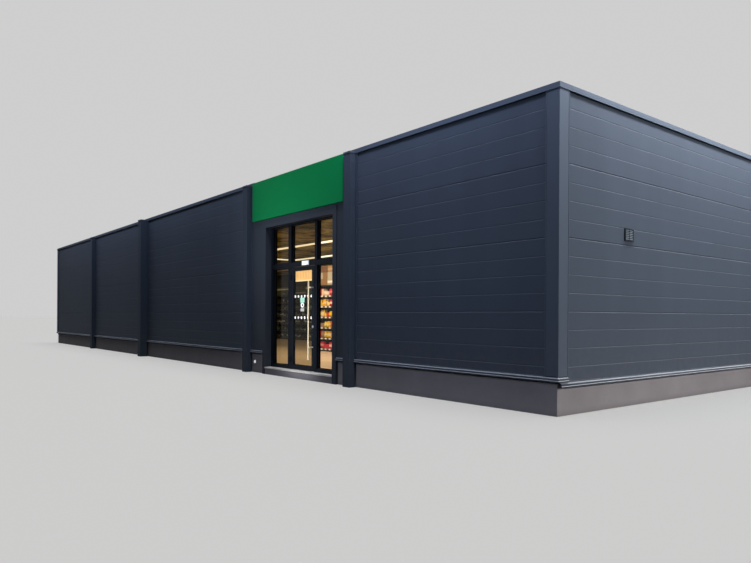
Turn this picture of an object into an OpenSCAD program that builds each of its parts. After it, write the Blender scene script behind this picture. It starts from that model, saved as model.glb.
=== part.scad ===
// Single-storey supermarket building: flat roof, sandwich panel walls on a
// plinth, and a recessed glass entrance with one hinged door.
// +Z is up, the front faces -Y, and the origin is on the ground at the centre
// of the walls. Places along the front are measured from its right corner.

/* [Building] */
// Length of the front wall, corner to corner
length = 28000; // [26000:500:32000]
// Depth from the front wall to the back wall
depth = 10000; // [8000:500:14000]
// Height of the floor above the lowest ground
floor_h = 165; // [140:5:260]

/* [Plinth] */
// Height of the side plinths, up to the wall panels
plinth_h = 410; // [340:10:600]
// Thickness of the plinth
plinth_t = 150; // [120:10:200]
// How far the plinth stands back behind the wall face
plinth_set = 30; // [10:5:60]
// Height and depth of the step in the plinth's top edge
plinth_step = 45; // [30:5:70]

/* [Wall panels] */
// Cover height of one panel
panel_h = 1000; // [950:10:1100]
// Rows of panels from plinth to coping
panel_rows = 4; // [4:1:5]
// Bands that the grooves divide a panel into
panel_bands = 4; // [2:1:5]
// Thickness of the panels
wall_t = 100; // [80:10:150]
// Width of the joint between two rows of panels
joint_w = 18; // [10:1:30]
// Depth of the joint between two rows of panels
joint_d = 12; // [6:1:20]
// Width of a rolled groove
groove_w = 12; // [6:1:20]
// Depth of a rolled groove
groove_d = 4; // [2:1:8]

// Height of the shadow gap between the panels and the coping
top_gap_h = 38; // [20:2:60]
// Depth of that gap
top_gap_d = 30; // [15:5:50]

/* [Flashings] */
// Width of each leg of a corner flashing
corner_w = 200; // [150:10:300]
// How far corner flashings and flanges stand out from the wall
trim_t = 20; // [12:1:30]
// Width of the hem along their edges
trim_hem_w = 12; // [8:1:16]
// How far that hem stands out further
trim_hem = 4; // [2:1:5]
// Height of the drip flashing over the plinth
drip_h = 75; // [50:5:100]
// How far the drip flashing stands out from the wall
drip_out = 45; // [30:5:70]
// How far the drip flashing laps over the plinth
drip_lap = 20; // [10:5:35]

/* [Coping] */
// Thickness of the coping on top of the wall
coping_t = 55; // [30:5:80]
// Height of the coping's face
coping_h = 80; // [60:5:120]
// Thickness of the coping's folded edge
coping_edge = 6; // [4:1:10]
// How far the hem under the edge stands out from it
coping_hem = 6; // [4:1:8]
// Height of the hem
coping_hem_h = 10; // [6:1:16]

/* [Pilasters] */
// Width of a pilaster
pilaster_w = 210; // [160:10:260]
// How far a pilaster stands out
pilaster_d = 140; // [100:10:200]
// Width of the deep pilaster
deep_pilaster_w = 250; // [200:10:320]
// How far the deep pilaster stands out
deep_pilaster_d = 240; // [200:10:300]
// Width of the flange beside a pilaster
flange_w = 55; // [30:5:80]
// Thickness of the cap on a pilaster
cap_t = 10; // [6:1:20]
// Right corner to the first pilaster's centre
pilaster_1_x = 4590; // [4300:5:4700]
// Right corner to the second pilaster's centre
pilaster_2_x = 8685; // [8600:25:9000]
// Right corner to the third, deep pilaster's centre
pilaster_3_x = 15810; // [14000:10:17000]
// Right corner to the fourth pilaster's centre
pilaster_4_x = 21790; // [20000:10:23000]

/* [Entrance] */
// Right corner to the centre of the entrance
entrance_x = 6550; // [6500:10:6700]
// Clear width between the portal's posts
entrance_w = 2670; // [2500:10:2760]
// Height of the entrance's head above the ground
entrance_top = 3345; // [3250:5:3450]
// Width of a portal post
post_w = 130; // [90:5:160]
// How far the portal stands out from the wall
portal_out = 25; // [15:1:30]
// Depth of the storefront behind the wall face
recess = 130; // [110:5:180]
// Thickness of the sill
sill_t = 28; // [20:2:60]
// How far the sill stands out from the wall
sill_out = 40; // [30:5:60]

/* [Sign] */
// Height of the sign box
sign_h = 905; // [800:5:950]
// How far its top lies below the coping's top
sign_drop = 25; // [10:5:40]
// Gap between the portal and the sign box
sign_gap = 25; // [10:5:40]
// Gap between the sign box and the pilasters beside it
sign_side = 130; // [80:5:200]
// Thickness of the sign box in front of the coping
sign_out = 30; // [20:2:60]

/* [Storefront] */
// Width of the frame at the posts
jamb_w = 90; // [50:5:100]
// Width of the mullion on the door's hinge side
mullion_w = 125; // [80:5:140]
// Width of the mullion on the door's lock side
lock_mullion_w = 85; // [80:5:140]
// Height of the frame's head below the lintel
head_h = 20; // [15:5:90]
// Height of the frame's bottom rail
rail_h = 75; // [60:5:130]
// Height of the transom over the door
transom_h = 100; // [80:5:160]
// Height of the top lights above the transom
top_light_h = 825; // [650:5:900]
// Depth of the frame
frame_d = 110; // [90:5:140]
// Width of the left side light
left_light_w = 657; // [600:1:760]
// Thickness of a glass unit
glass_t = 24; // [16:1:32]
// How far the glass lies behind the frame's face
glass_set = 50; // [30:5:60]
// Width of the glazing beads
bead_w = 14; // [10:1:20]
// Depth of the glazing beads
bead_d = 8; // [5:1:12]
// Width and depth of the groove between two coupled profiles
couple_w = 8; // [5:1:12]

/* [Door] */
// Clear width between the mullions
door_w = 935; // [850:5:1050]
// Depth of the door leaf
leaf_d = 60; // [50:2:70]
// Width of the leaf's stiles
stile_w = 95; // [80:5:130]
// Height of the leaf's top rail
leaf_top_h = 70; // [50:5:110]
// Height of the leaf's bottom rail
leaf_bottom_h = 90; // [80:5:200]
// Gap round the leaf
leaf_gap = 8; // [8:0.5:12]
// Radius of a hinge knuckle
knuckle_r = 11; // [9:0.5:14]
// Radius of a hinge pin
pin_r = 6; // [4:0.5:7]
// Height of a hinge knuckle
knuckle_h = 36; // [24:2:50]
// Number of hinges
hinges = 3; // [2:1:4]
// End of the leaf to the middle of the nearest hinge
hinge_end = 220; // [150:10:300]
// Width of a hinge's plate
plate_w = 34; // [24:2:44]
// Thickness of a hinge's plate
plate_t = 5; // [3:0.5:6]

/* [Door furniture] */
// Radius of the pull handle's bar
bar_r = 14; // [11:1:20]
// Length of the pull handle's bar
bar_len = 1650; // [1200:10:1800]
// Height of the bar's lower end above the floor
bar_foot = 250; // [150:5:400]
// Distance of the bar in front of the door
bar_off = 70; // [50:5:90]
// Radius of the handle's brackets
bracket_r = 10; // [8:1:14]
// Height of the lock above the floor
lock_h = 945; // [850:5:1100]
// Radius of the lock's rose
lock_r = 27; // [20:1:35]
// How far the lock's rose stands out
lock_out = 8; // [5:1:12]

/* [Small fittings] */
// Width of the vent on the right wall
vent_w = 240; // [180:5:300]
// Height of the vent
vent_h = 190; // [150:5:300]
// Front corner to the vent's centre
vent_y = 1740; // [1200:10:2500]
// Height of the vent's centre above the ground
vent_z = 2570; // [2300:10:2900]
// How far the vent stands out from the wall
vent_out = 24; // [15:1:40]
// Blades in the vent
vent_blades = 6; // [4:1:8]
// Width of the vent's frame
vent_rim = 18; // [12:1:25]
// Thickness of the vent's back plate
vent_plate = 4; // [3:1:8]
// Radius of the lamp on the plinth
lamp_r = 42; // [35:1:70]
// How far the lamp stands out from the plinth
lamp_out = 36; // [30:1:60]
// Portal to the lamp's centre
lamp_gap = 425; // [150:5:450]
// Height of the lamp's centre above the ground
lamp_z = 250; // [120:10:300]
// Width of the lamp box over the door
lamp_box_w = 255; // [250:5:400]
// Height of the lamp box over the door
lamp_box_h = 95; // [80:5:120]
// Depth of the lamp box over the door
lamp_box_d = 25; // [20:5:90]
// Bottom of the lamp box above the transom's lower edge
lamp_box_rise = 15; // [10:5:60]

/* [Inside] */
// Height of the ceiling above the ground
ceiling_z = 3450; // [3420:10:3600]
// Thickness of the ceiling
ceiling_t = 30; // [15:1:50]
// Height of the roof deck's top above the ground
roof_z = 4120; // [4000:10:4250]
// Thickness of the roof deck
roof_t = 120; // [80:10:160]
// Distance between the ribs of the roof panels
rib_pitch = 500; // [250:50:1000]
// Width of a rib at its foot
rib_w = 70; // [40:5:90]
// Height of a rib
rib_h = 40; // [25:5:50]
// Height of the header box inside the door
header_h = 360; // [200:10:400]
// Depth of the header box inside the door
header_d = 200; // [150:10:260]
// Width of a ceiling light
light_w = 70; // [50:5:100]
// Depth of a ceiling light
light_h = 40; // [25:5:60]
// Rows of ceiling lights
light_rows = 3; // [2:1:4]
// Front wall's face to the first row of lights
light_y = 3000; // [2500:50:3500]
// Distance between rows of lights
light_pitch = 2450; // [2000:50:2600]
// Side wall's face to the end of a row of lights
light_end = 1500; // [500:100:3000]
// Right corner to the light that joins two rows
light_link_x = 15600; // [12000:100:20000]

/* [Shelves] */
// Length of the shelf rack in the middle of the shop
rack_w = 6000; // [4000:500:7000]
// Right corner to the far end of that rack
rack_x = 12950; // [12000:50:14000]
// Front wall's face to the front of that rack
rack_y = 4730; // [4000:50:5000]
// Length of the shelf run along the back wall
run_w = 8000; // [4000:500:10000]
// Right corner to the near end of the shelf run
run_x = 17500; // [15000:500:18000]
// Depth of a rack
rack_d = 400; // [350:10:450]
// Height of a rack
rack_h = 2200; // [1900:50:2400]
// Shelves above the base of a rack
shelves = 6; // [4:1:7]
// Height of a rack's base
base_h = 100; // [80:10:200]
// Thickness of a shelf
shelf_t = 30; // [20:1:40]
// Thickness of a rack's sides and back
rack_t = 25; // [18:1:35]
// Free height over the goods on a shelf
goods_gap = 60; // [30:5:100]
// Height of the boxes on top of a rack
top_goods_h = 420; // [200:20:500]

/* [Hidden] */
$fn = 48;

// Levels
wall_top = plinth_h + panel_rows * panel_h;
coping_top = wall_top + coping_t;
coping_low = coping_top - coping_h;
coping_out = trim_t + coping_edge;
hem_out = coping_out + coping_hem;
drip_low = plinth_h - drip_lap;
// The front and back plinths are one drip flashing higher than the side ones
high_plinth_h = plinth_h + drip_h;
high_drip_low = drip_low + drip_h;
high_drip_top = high_drip_low + drip_h;
sill_top = floor_h;
drip_fold = drip_out / 4;
// Heights of the drip flashing's folds, in shares of its own height
drip_folds = [0.2, 0.32, 0.62, 0.85];
sign_top = coping_top - sign_drop;
sign_low = sign_top - sign_h;

// Faces of the walls
x_right = length / 2;
x_left = -length / 2;
y_front = -depth / 2;
y_back = depth / 2;

// Pilasters: distance from the right corner, width, depth
pilasters = [
    [pilaster_1_x, pilaster_w, pilaster_d],
    [pilaster_2_x, pilaster_w, pilaster_d],
    [pilaster_3_x, deep_pilaster_w, deep_pilaster_d],
    [pilaster_4_x, pilaster_w, pilaster_d]
];

// Entrance
portal_w = entrance_w + 2 * post_w;
portal_right = entrance_x - portal_w / 2;
portal_left = entrance_x + portal_w / 2;
portal_top = sign_low - sign_gap;
portal_deep = portal_out + plinth_set + plinth_t;
side_sheet_t = 8;
x_sign = x_right - pilaster_2_x + pilaster_w / 2 + sign_side;
sign_w = pilaster_2_x - pilaster_1_x - pilaster_w - 2 * sign_side;
x_open = x_right - entrance_x - entrance_w / 2;
y_frame = y_front + recess;
y_slab = y_front + plinth_set + plinth_t;
frame_h = entrance_top - sill_top;

// Storefront, measured from the opening's left side
x_light = x_open + jamb_w;
x_mullion_1 = x_light + left_light_w;
x_door = x_mullion_1 + mullion_w;
x_mullion_2 = x_door + door_w;
x_right_light = x_mullion_2 + lock_mullion_w;
right_light_w = x_open + entrance_w - jamb_w - x_right_light;
z_top_light = entrance_top - head_h - top_light_h;
z_transom = z_top_light - transom_h;
z_light = sill_top + rail_h;
low_light_h = z_transom - z_light;
// The fixed lights: x, z, width and height
lights = [
    [x_light, z_light, left_light_w, low_light_h],
    [x_right_light, z_light, right_light_w, low_light_h],
    [x_light, z_top_light, left_light_w, top_light_h],
    [x_door, z_top_light, door_w, top_light_h],
    [x_right_light, z_top_light, right_light_w, top_light_h]
];

// Door leaf
leaf_w = door_w - 2 * leaf_gap;
leaf_lift = 2;
leaf_low = sill_top + leaf_gap + leaf_lift;
leaf_h = z_transom - leaf_gap - leaf_low;
x_leaf = x_door + leaf_gap;
leaf_set = (leaf_d - glass_t) / 2;
door_glass_w = leaf_w - 2 * stile_w;
door_glass_h = leaf_h - leaf_bottom_h - leaf_top_h;

// Hinges
pin_gap = 0.06;
knuckle_gap = 1;
x_hinge = x_door + leaf_gap / 2;
y_hinge = y_frame - knuckle_r - knuckle_gap;
hinge_heights = [for (i = [0 : hinges - 1])
    leaf_low + hinge_end + i * (leaf_h - 2 * hinge_end) / (hinges - 1)];

// Pull handle: middle of the lock stile, the bar and its brackets, whose
// heights are shares of the bar's length
x_stile = x_leaf + leaf_w - stile_w / 2;
x_bar = x_leaf + leaf_w - stile_w - 1.5 * bar_r;
bar_low = sill_top + bar_foot;
boss_over = 3;
boss_r = bracket_r + boss_over;
bracket_heights = [for (share = [0.16, 0.92]) bar_low + share * bar_len];

// Vent blades in shares of their pitch: outer edge, inner edge and thickness
blade_low = 0.15;
blade_high = 0.7;
blade_t = 0.2;

// Inside
in_x = length / 2 - wall_t;
in_y = depth / 2 - wall_t;
y_light = y_front + light_y;
shelf_pitch = (rack_h - base_h) / shelves;
goods_play = 10;

// Overlap of cuts
eps = 1;

// Shared shapes

// A straight piece that follows one side of the building: the profile's x
// runs outward from the wall face, its y runs up, and it is extruded along
// the side from a to b, measured from the side's right-hand end.
module along(side, a, b) {
    half = side == "front" || side == "back" ? length / 2 : depth / 2;
    out = side == "front" || side == "back" ? depth / 2 : length / 2;
    turn = side == "front" ? 0 : side == "right" ? 90 : side == "back" ? 180 : 270;
    rotate([0, 0, turn])
        translate([half - b, -out, 0])
            rotate([90, 0, 90])
                linear_extrude(height = b - a)
                    mirror([1, 0])
                        children();
}

// Cuts the ends of a piece that runs round the building at 45 degrees: it
// keeps what lies between over outside the wall face and inner inside it.
module mitred(side, over, inner) {
    half = side == "front" || side == "back" ? length / 2 : depth / 2;
    out = side == "front" || side == "back" ? depth / 2 : length / 2;
    turn = side == "front" ? 0 : side == "right" ? 90 : side == "back" ? 180 : 270;
    intersection() {
        children();
        rotate([0, 0, turn])
            translate([0, -out, 0])
                linear_extrude(height = coping_top + eps)
                    polygon([
                        [-half - over, -over], [half + over, -over],
                        [half - inner, inner], [-half + inner, inner]
                    ]);
    }
}

// Outline of one joint or groove at height z: a slope that faces up, then an
// undercut below the upper edge
function joint_line(z) = [
    [0, z - joint_w / 2], [-joint_d / 2, z], [-joint_d, z],
    [-joint_d, z + joint_w / 3], [0, z + joint_w / 2]
];
function groove_line(z) = [
    [0, z - groove_w / 2], [-groove_d, z + groove_w / 6],
    [-groove_d, z + groove_w / 3], [0, z + groove_w / 2]
];

// Section of a stack of panels from z0 up, with its joints and grooves rolled
// into the outer face and its top edge cut back under the coping
module panel_section(z0) {
    pitch = panel_h / panel_bands;
    face_top = coping_low - top_gap_h;
    first = ceil((z0 - plinth_h + joint_w) / pitch);
    last = floor((face_top - plinth_h - joint_w) / pitch);
    outer = [for (i = [first : last])
        let (z = plinth_h + i * pitch)
        each (i % panel_bands == 0 ? joint_line(z) : groove_line(z))];
    top = [[0, face_top], [-top_gap_d, face_top], [-top_gap_d, wall_top], [-wall_t, wall_top]];
    polygon(concat([[-wall_t, z0], [0, z0]], outer, top));
}

module wall_side(side, a, b, z0) {
    color("#3a4049")
        along(side, a, b)
            panel_section(z0);
}

// Folded drip flashing: an upstand, a sloping shelf and a turned-down lip
module drip_section(low) {
    folds = drip_h * drip_folds;
    translate([0, low])
        polygon([
            [0, 0], [drip_out, 0], [drip_out, folds[0]],
            [drip_out - drip_fold, folds[1]], [drip_out - drip_fold, folds[2]],
            [drip_fold, folds[3]], [drip_fold, drip_h], [0, drip_h]
        ]);
}

// Spans of a side that its pilasters leave free, as [from, to] pairs
function spans(from, to, posts) =
    let (ends = concat([from], [for (p = posts) each [p[0] - p[1] / 2, p[0] + p[1] / 2]], [to]))
    [for (i = [0 : 2 : len(ends) - 1]) [ends[i], ends[i + 1]]];

function between(from, to) = [for (p = pilasters) if (p[0] > from && p[0] < to) p];

// The back repeats the front's pilasters, seen from behind
back_posts = [for (i = [len(pilasters) - 1 : -1 : 0])
    [length - pilasters[i][0], pilasters[i][1], pilasters[i][2]]];

// Ground works

module floor_slab() {
    half_x = length / 2 - plinth_set - plinth_t;
    half_y = depth / 2 - plinth_set - plinth_t;
    color("#c9b08a") {
        translate([-half_x, -half_y, 0])
            cube([2 * half_x, 2 * half_y, floor_h]);
        translate([x_open, y_frame, 0])
            cube([entrance_w, y_slab - y_frame + eps, floor_h]);
    }
}

// Concrete step under the sill
module door_step() {
    color("#6e6e70")
        translate([x_open, y_front - sill_out / 2, 0])
            cube([entrance_w, sill_out / 2 + recess, floor_h - sill_t]);
}

// A run of the plinth, stepped back at its top behind the drip flashing
module plinth_piece(side, a, b, top) {
    color("#6e6e70")
        along(side, a, b)
            translate([-plinth_set - plinth_t, 0]) {
                square([plinth_t, top - plinth_step]);
                square([plinth_t - plinth_step, top]);
            }
}

// A run of the higher plinth, cut back where the side walls stand
module high_plinth_piece(side, a, b) {
    difference() {
        plinth_piece(side, a, b, high_plinth_h);
        for (x = [x_left, in_x])
            translate([x, -in_y, plinth_h])
                cube([wall_t, 2 * in_y, drip_h + eps]);
    }
}

module front_plinth() {
    high_plinth_piece("front", plinth_set, portal_right);
    high_plinth_piece("front", portal_left, length - plinth_set);
}

module right_plinth() {
    plinth_piece("right", plinth_set + plinth_t, depth - plinth_set - plinth_t, plinth_h);
}

module back_plinth() {
    high_plinth_piece("back", plinth_set, length - plinth_set);
}

module left_plinth() {
    plinth_piece("left", plinth_set + plinth_t, depth - plinth_set - plinth_t, plinth_h);
}

// Walls

module front_wall_right() {
    wall_side("front", 0, portal_right, high_plinth_h);
}

module front_wall_over_door() {
    wall_side("front", portal_right, portal_left, portal_top);
}

module front_wall_left() {
    wall_side("front", portal_left, length, high_plinth_h);
}

module right_wall() {
    wall_side("right", wall_t, depth - wall_t, plinth_h);
}

module back_wall() {
    wall_side("back", 0, length, high_plinth_h);
}

module left_wall() {
    wall_side("left", wall_t, depth - wall_t, plinth_h);
}

// Flashings

module drip_run(side, from, to, posts, low) {
    color("#343a43")
        mitred(side, drip_out, 0)
            for (s = spans(from, to, posts))
                along(side, s[0], s[1])
                    drip_section(low);
}

// The drip flashings of the front and the back lie over those of the sides, and
// return round the corners under the corner flashings
module front_drip_flashing() {
    drip_run("front", -drip_out, portal_right, between(0, portal_right), high_drip_low);
    drip_run("front", portal_left, length + drip_out, between(portal_left, length), high_drip_low);
    drip_run("right", depth - corner_w, depth + drip_out, [], high_drip_low);
    drip_run("left", -drip_out, corner_w, [], high_drip_low);
}

module right_drip_flashing() {
    drip_run("right", plinth_set, depth - plinth_set, [], drip_low);
}

module back_drip_flashing() {
    drip_run("back", -drip_out, length + drip_out, back_posts, high_drip_low);
    drip_run("right", -drip_out, corner_w, [], high_drip_low);
    drip_run("left", depth - corner_w, depth + drip_out, [], high_drip_low);
}

module left_drip_flashing() {
    drip_run("left", plinth_set, depth - plinth_set, [], drip_low);
}

// One corner flashing: an angle that wraps the corner between the drip flashing
// and the coping, with a hem along both edges
module corner_flashing(sx, sy) {
    color("#39404a")
        translate([sx * length / 2, sy * depth / 2, high_drip_top])
            mirror([sx > 0 ? 0 : 1, 0, 0])
                mirror([0, sy > 0 ? 0 : 1, 0])
                    linear_extrude(height = coping_low - high_drip_top)
                        polygon([
                            [-corner_w, 0], [0, 0], [0, -corner_w],
                            [trim_t + trim_hem, -corner_w],
                            [trim_t + trim_hem, -corner_w + trim_hem_w],
                            [trim_t, -corner_w + trim_hem_w], [trim_t, trim_t],
                            [-corner_w + trim_hem_w, trim_t],
                            [-corner_w + trim_hem_w, trim_t + trim_hem],
                            [-corner_w, trim_t + trim_hem]
                        ]);
}

module corner_flashings() {
    for (sx = [-1, 1])
        for (sy = [-1, 1])
            corner_flashing(sx, sy);
}

// Pilasters

// Box cover from the ground to the coping. Above the drip flashing it has a
// flange with a hem on each side.
module pilaster(side, p) {
    half = p[1] / 2;
    edge = half + flange_w;
    color("#30363f") {
        along(side, p[0] - half, p[0] + half)
            square([p[2], wall_top]);
        along(side, p[0] - edge, p[0] + edge)
            translate([0, high_drip_top])
                square([trim_t, wall_top - high_drip_top]);
        for (x = [p[0] - edge, p[0] + edge - trim_hem_w])
            along(side, x, x + trim_hem_w)
                translate([0, high_drip_top])
                    square([trim_t + trim_hem, coping_low - high_drip_top]);
    }
}

module pilaster_1() {
    pilaster("front", pilasters[0]);
}

module pilaster_2() {
    pilaster("front", pilasters[1]);
}

module pilaster_3() {
    pilaster("front", pilasters[2]);
}

module pilaster_4() {
    pilaster("front", pilasters[3]);
}

module back_pilasters() {
    for (p = back_posts)
        pilaster("back", p);
}

// Coping

// Section across the wall: a board on top, with an edge and a hem folded down
// on both sides
module coping_section() {
    difference() {
        union() {
            translate([-wall_t - coping_out, coping_low])
                square([wall_t + 2 * coping_out, coping_h]);
            translate([-wall_t - hem_out, coping_low])
                square([wall_t + 2 * hem_out, coping_hem_h]);
        }
        translate([-wall_t - trim_t, coping_low - eps])
            square([wall_t + 2 * trim_t, wall_top - coping_low + eps]);
    }
}

// One side of the coping, mitred at both ends, with a lower cap on each pilaster
module coping_side(side, posts) {
    span = side == "front" || side == "back" ? length : depth;
    color("#39404a") {
        difference() {
            mitred(side, hem_out, wall_t + hem_out)
                along(side, -hem_out, span + hem_out)
                    coping_section();
            for (p = posts)
                along(side, p[0] - p[1] / 2, p[0] + p[1] / 2)
                    translate([0, coping_low - eps])
                        square([2 * hem_out, wall_top - coping_low + eps]);
        }
        for (p = posts)
            pilaster_cap(side, p);
    }
}

// Thin cap over a pilaster, with an edge and a hem close round it
module pilaster_cap(side, p) {
    half = p[1] / 2;
    over = coping_edge + coping_hem;
    difference() {
        union() {
            along(side, p[0] - half - coping_edge, p[0] + half + coping_edge)
                translate([trim_t, coping_low])
                    square([p[2] - trim_t + coping_edge, wall_top + cap_t - coping_low]);
            along(side, p[0] - half - over, p[0] + half + over)
                translate([trim_t, coping_low])
                    square([p[2] - trim_t + over, coping_hem_h]);
        }
        along(side, p[0] - half, p[0] + half)
            translate([0, coping_low - eps])
                square([p[2], wall_top - coping_low + eps]);
    }
}

// The front's coping stops at the sign box, which covers the wall itself
module front_coping() {
    difference() {
        coping_side("front", pilasters);
        translate([x_sign, y_front - 2 * hem_out, coping_low - eps])
            cube([sign_w, wall_t + 4 * hem_out, coping_h + 2 * eps]);
    }
}

module right_coping() {
    coping_side("right", []);
}

module back_coping() {
    coping_side("back", back_posts);
}

module left_coping() {
    coping_side("left", []);
}

// Roof and ceiling

// Roof panels with raised ribs that run from front to back
module roof_deck() {
    ribs = floor((2 * in_x - rib_w) / rib_pitch);
    first = -ribs * rib_pitch / 2;
    color("#8a8d90")
        translate([0, in_y, 0])
            rotate([90, 0, 0])
                linear_extrude(height = 2 * in_y)
                    polygon(concat(
                        [[-in_x, roof_z - roof_t], [in_x, roof_z - roof_t], [in_x, roof_z]],
                        [for (i = [ribs : -1 : 0])
                            let (x = first + i * rib_pitch)
                            each [
                                [x + rib_w / 2, roof_z], [x + rib_w / 4, roof_z + rib_h],
                                [x - rib_w / 4, roof_z + rib_h], [x - rib_w / 2, roof_z]
                            ]],
                        [[-in_x, roof_z]]
                    ));
}

// Suspended ceiling, cut out round the portal's lintel
module ceiling() {
    color("#c8c2b4")
        difference() {
            translate([-in_x, -in_y, ceiling_z])
                cube([2 * in_x, 2 * in_y, ceiling_t]);
            translate([x_open - post_w, y_front, ceiling_z - eps])
                cube([portal_w, portal_deep - portal_out, ceiling_t + 2 * eps]);
        }
}

// Rows of linear lights along the shop. The second row starts at the light that
// joins it to the first.
module ceiling_lights() {
    end = length / 2 - light_end;
    x_link = x_right - light_link_x - light_w / 2;
    color("#fff4dc") {
        for (i = [0 : light_rows - 1])
            let (start = i == 1 ? x_link : -end)
                translate([start, y_light + i * light_pitch - light_w / 2, ceiling_z - light_h])
                    cube([end - start, light_w, light_h]);
        translate([x_link, y_light, ceiling_z - light_h])
            cube([light_w, light_pitch, light_h]);
    }
}

// Entrance

// Two posts and a lintel, as deep as the wall and the storefront together
module portal_frame() {
    color("#2f3640")
        translate([x_open - post_w, y_front - portal_out, 0])
            difference() {
                cube([portal_w, portal_deep, portal_top]);
                translate([post_w, -eps, -eps])
                    cube([entrance_w, portal_deep + 2 * eps, entrance_top + eps]);
            }
}

// Flat sheets on the wall between the portal and the pilasters beside it
module portal_side_sheets() {
    edge = pilaster_w / 2 + flange_w;
    color("#30363f")
        for (s = [[pilaster_1_x + edge, portal_right], [portal_left, pilaster_2_x - edge]])
            along("front", s[0], s[1])
                translate([0, high_drip_top])
                    square([side_sheet_t, sign_low - high_drip_top]);
}

// Flat box on the wall between the first two pilasters. Its lid covers the top
// of the wall and folds down behind it.
module sign_box() {
    face = hem_out + sign_out;
    color("#006f3c")
        translate([x_sign, y_front, 0]) {
            translate([0, -face, sign_low])
                cube([sign_w, face, sign_h]);
            translate([0, -eps, wall_top])
                cube([sign_w, wall_t + coping_out + eps, sign_top - wall_top]);
            translate([0, wall_t + trim_t, coping_low])
                cube([sign_w, coping_edge, sign_top - coping_low]);
        }
}

module door_sill() {
    color("#d8d8d4")
        translate([x_open, y_front - sill_out, floor_h - sill_t])
            cube([entrance_w, sill_out + recess, sill_t]);
}

// Hole for a glass unit of w by h whose face lies at set behind a frame of
// the given depth: a rebate before and behind it, with beads at the glass
module glazing_hole(w, h, set, deep) {
    back = set + glass_t + bead_d;
    translate([0, -eps, 0])
        cube([w, set - bead_d + eps, h]);
    translate([bead_w, -eps, bead_w])
        cube([w - 2 * bead_w, deep + 2 * eps, h - 2 * bead_w]);
    translate([0, set, 0])
        cube([w, glass_t, h]);
    translate([0, back, 0])
        cube([w, deep - back + eps, h]);
}

// Storefront frame: jambs, head, bottom rails, transom, and mullions with a
// groove between their two coupled profiles
module storefront_frame() {
    color("#23292f")
        translate([0, y_frame, 0])
            difference() {
                translate([x_open, 0, sill_top])
                    cube([entrance_w, frame_d, frame_h]);
                for (l = lights)
                    translate([l[0], 0, l[1]])
                        glazing_hole(l[2], l[3], glass_set, frame_d);
                translate([x_door, -eps, sill_top - eps])
                    cube([door_w, frame_d + 2 * eps, z_transom - sill_top + eps]);
                for (x = [x_mullion_1 + mullion_w / 2, x_mullion_2 + lock_mullion_w / 2])
                    translate([x - couple_w / 2, -eps, sill_top - eps])
                        cube([couple_w, couple_w + eps, frame_h + 2 * eps]);
            }
}

module storefront_glass() {
    color("#9fb4b0", 0.4)
        for (l = lights)
            translate([l[0], y_frame + glass_set, l[1]])
                cube([l[2], glass_t, l[3]]);
}

// Door

module door_leaf() {
    color("#23292f") {
        difference() {
            translate([x_leaf, y_frame, leaf_low])
                cube([leaf_w, leaf_d, leaf_h]);
            at_door_glass()
                translate([0, -leaf_set, 0])
                    glazing_hole(door_glass_w, door_glass_h, leaf_set, leaf_d);
        }
        for (z = hinge_heights)
            leaf_knuckle(z);
    }
}

module at_door_glass() {
    translate([x_leaf + stile_w, y_frame + leaf_set, leaf_low + leaf_bottom_h])
        children();
}

module door_glass() {
    color("#9fb4b0", 0.4)
        at_door_glass()
            cube([door_glass_w, glass_t, door_glass_h]);
}

// Middle knuckle of a hinge, on a plate that is fixed to the leaf
module leaf_knuckle(z) {
    translate([x_hinge, 0, z - knuckle_h / 2])
        difference() {
            union() {
                translate([0, y_hinge, 0])
                    cylinder(r = knuckle_r, h = knuckle_h);
                translate([0, y_frame - plate_t, 0])
                    cube([plate_w, plate_t, knuckle_h]);
            }
            translate([0, y_hinge, -eps])
                cylinder(r = pin_r + pin_gap, h = knuckle_h + 2 * eps);
        }
}

// Upper and lower knuckles with the pin, on plates that are fixed to the mullion
module door_hinges() {
    reach = 1.5 * knuckle_h + knuckle_gap;
    color("#9a9da0")
        for (z = hinge_heights)
            translate([x_hinge, 0, z]) {
                translate([0, y_hinge, -reach])
                    cylinder(r = pin_r, h = 2 * reach);
                for (low = [-reach, reach - knuckle_h]) {
                    translate([0, y_hinge, low])
                        cylinder(r = knuckle_r, h = knuckle_h);
                    translate([-plate_w, y_frame - plate_t, low])
                        cube([plate_w, plate_t, knuckle_h]);
                }
            }
}

// Long vertical bar on two brackets that reach to the lock stile
module pull_handle() {
    color("#c9cccf") {
        translate([x_bar, y_frame - bar_off, bar_low])
            cylinder(r = bar_r, h = bar_len);
        for (z = bracket_heights) {
            translate([x_bar, y_frame - bar_off, z])
                rotate([0, 90, 0])
                    cylinder(r = bracket_r, h = x_stile - x_bar);
            translate([x_stile, y_frame - bar_off - boss_r, z])
                rotate([-90, 0, 0])
                    cylinder(r = boss_r, h = bar_off + boss_r);
        }
    }
}

module door_lock() {
    color("#c9cccf")
        translate([x_stile, y_frame, sill_top + lock_h])
            rotate([90, 0, 0]) {
                cylinder(r = lock_r, h = lock_out);
                cylinder(r = lock_r / 3, h = 2 * lock_out);
            }
}

// Small fittings

module over_door_lamp() {
    color("#e8eaec")
        translate([x_door + door_w / 2, y_frame - lamp_box_d, z_transom + lamp_box_rise])
            cube([lamp_box_w, lamp_box_d, lamp_box_h]);
}

module header_box() {
    color("#d9b98a")
        translate([x_door, y_frame + frame_d, z_transom + transom_h / 2 - header_h])
            cube([door_w, header_d, header_h]);
}

module plinth_lamp() {
    color("#ececea")
        translate([x_right - portal_left - lamp_gap, y_front + plinth_set, lamp_z])
            rotate([90, 0, 0]) {
                cylinder(r = lamp_r, h = lamp_out / 2);
                translate([0, 0, lamp_out / 2])
                    cylinder(r1 = lamp_r, r2 = lamp_r / 2, h = lamp_out / 2);
            }
}

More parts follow.
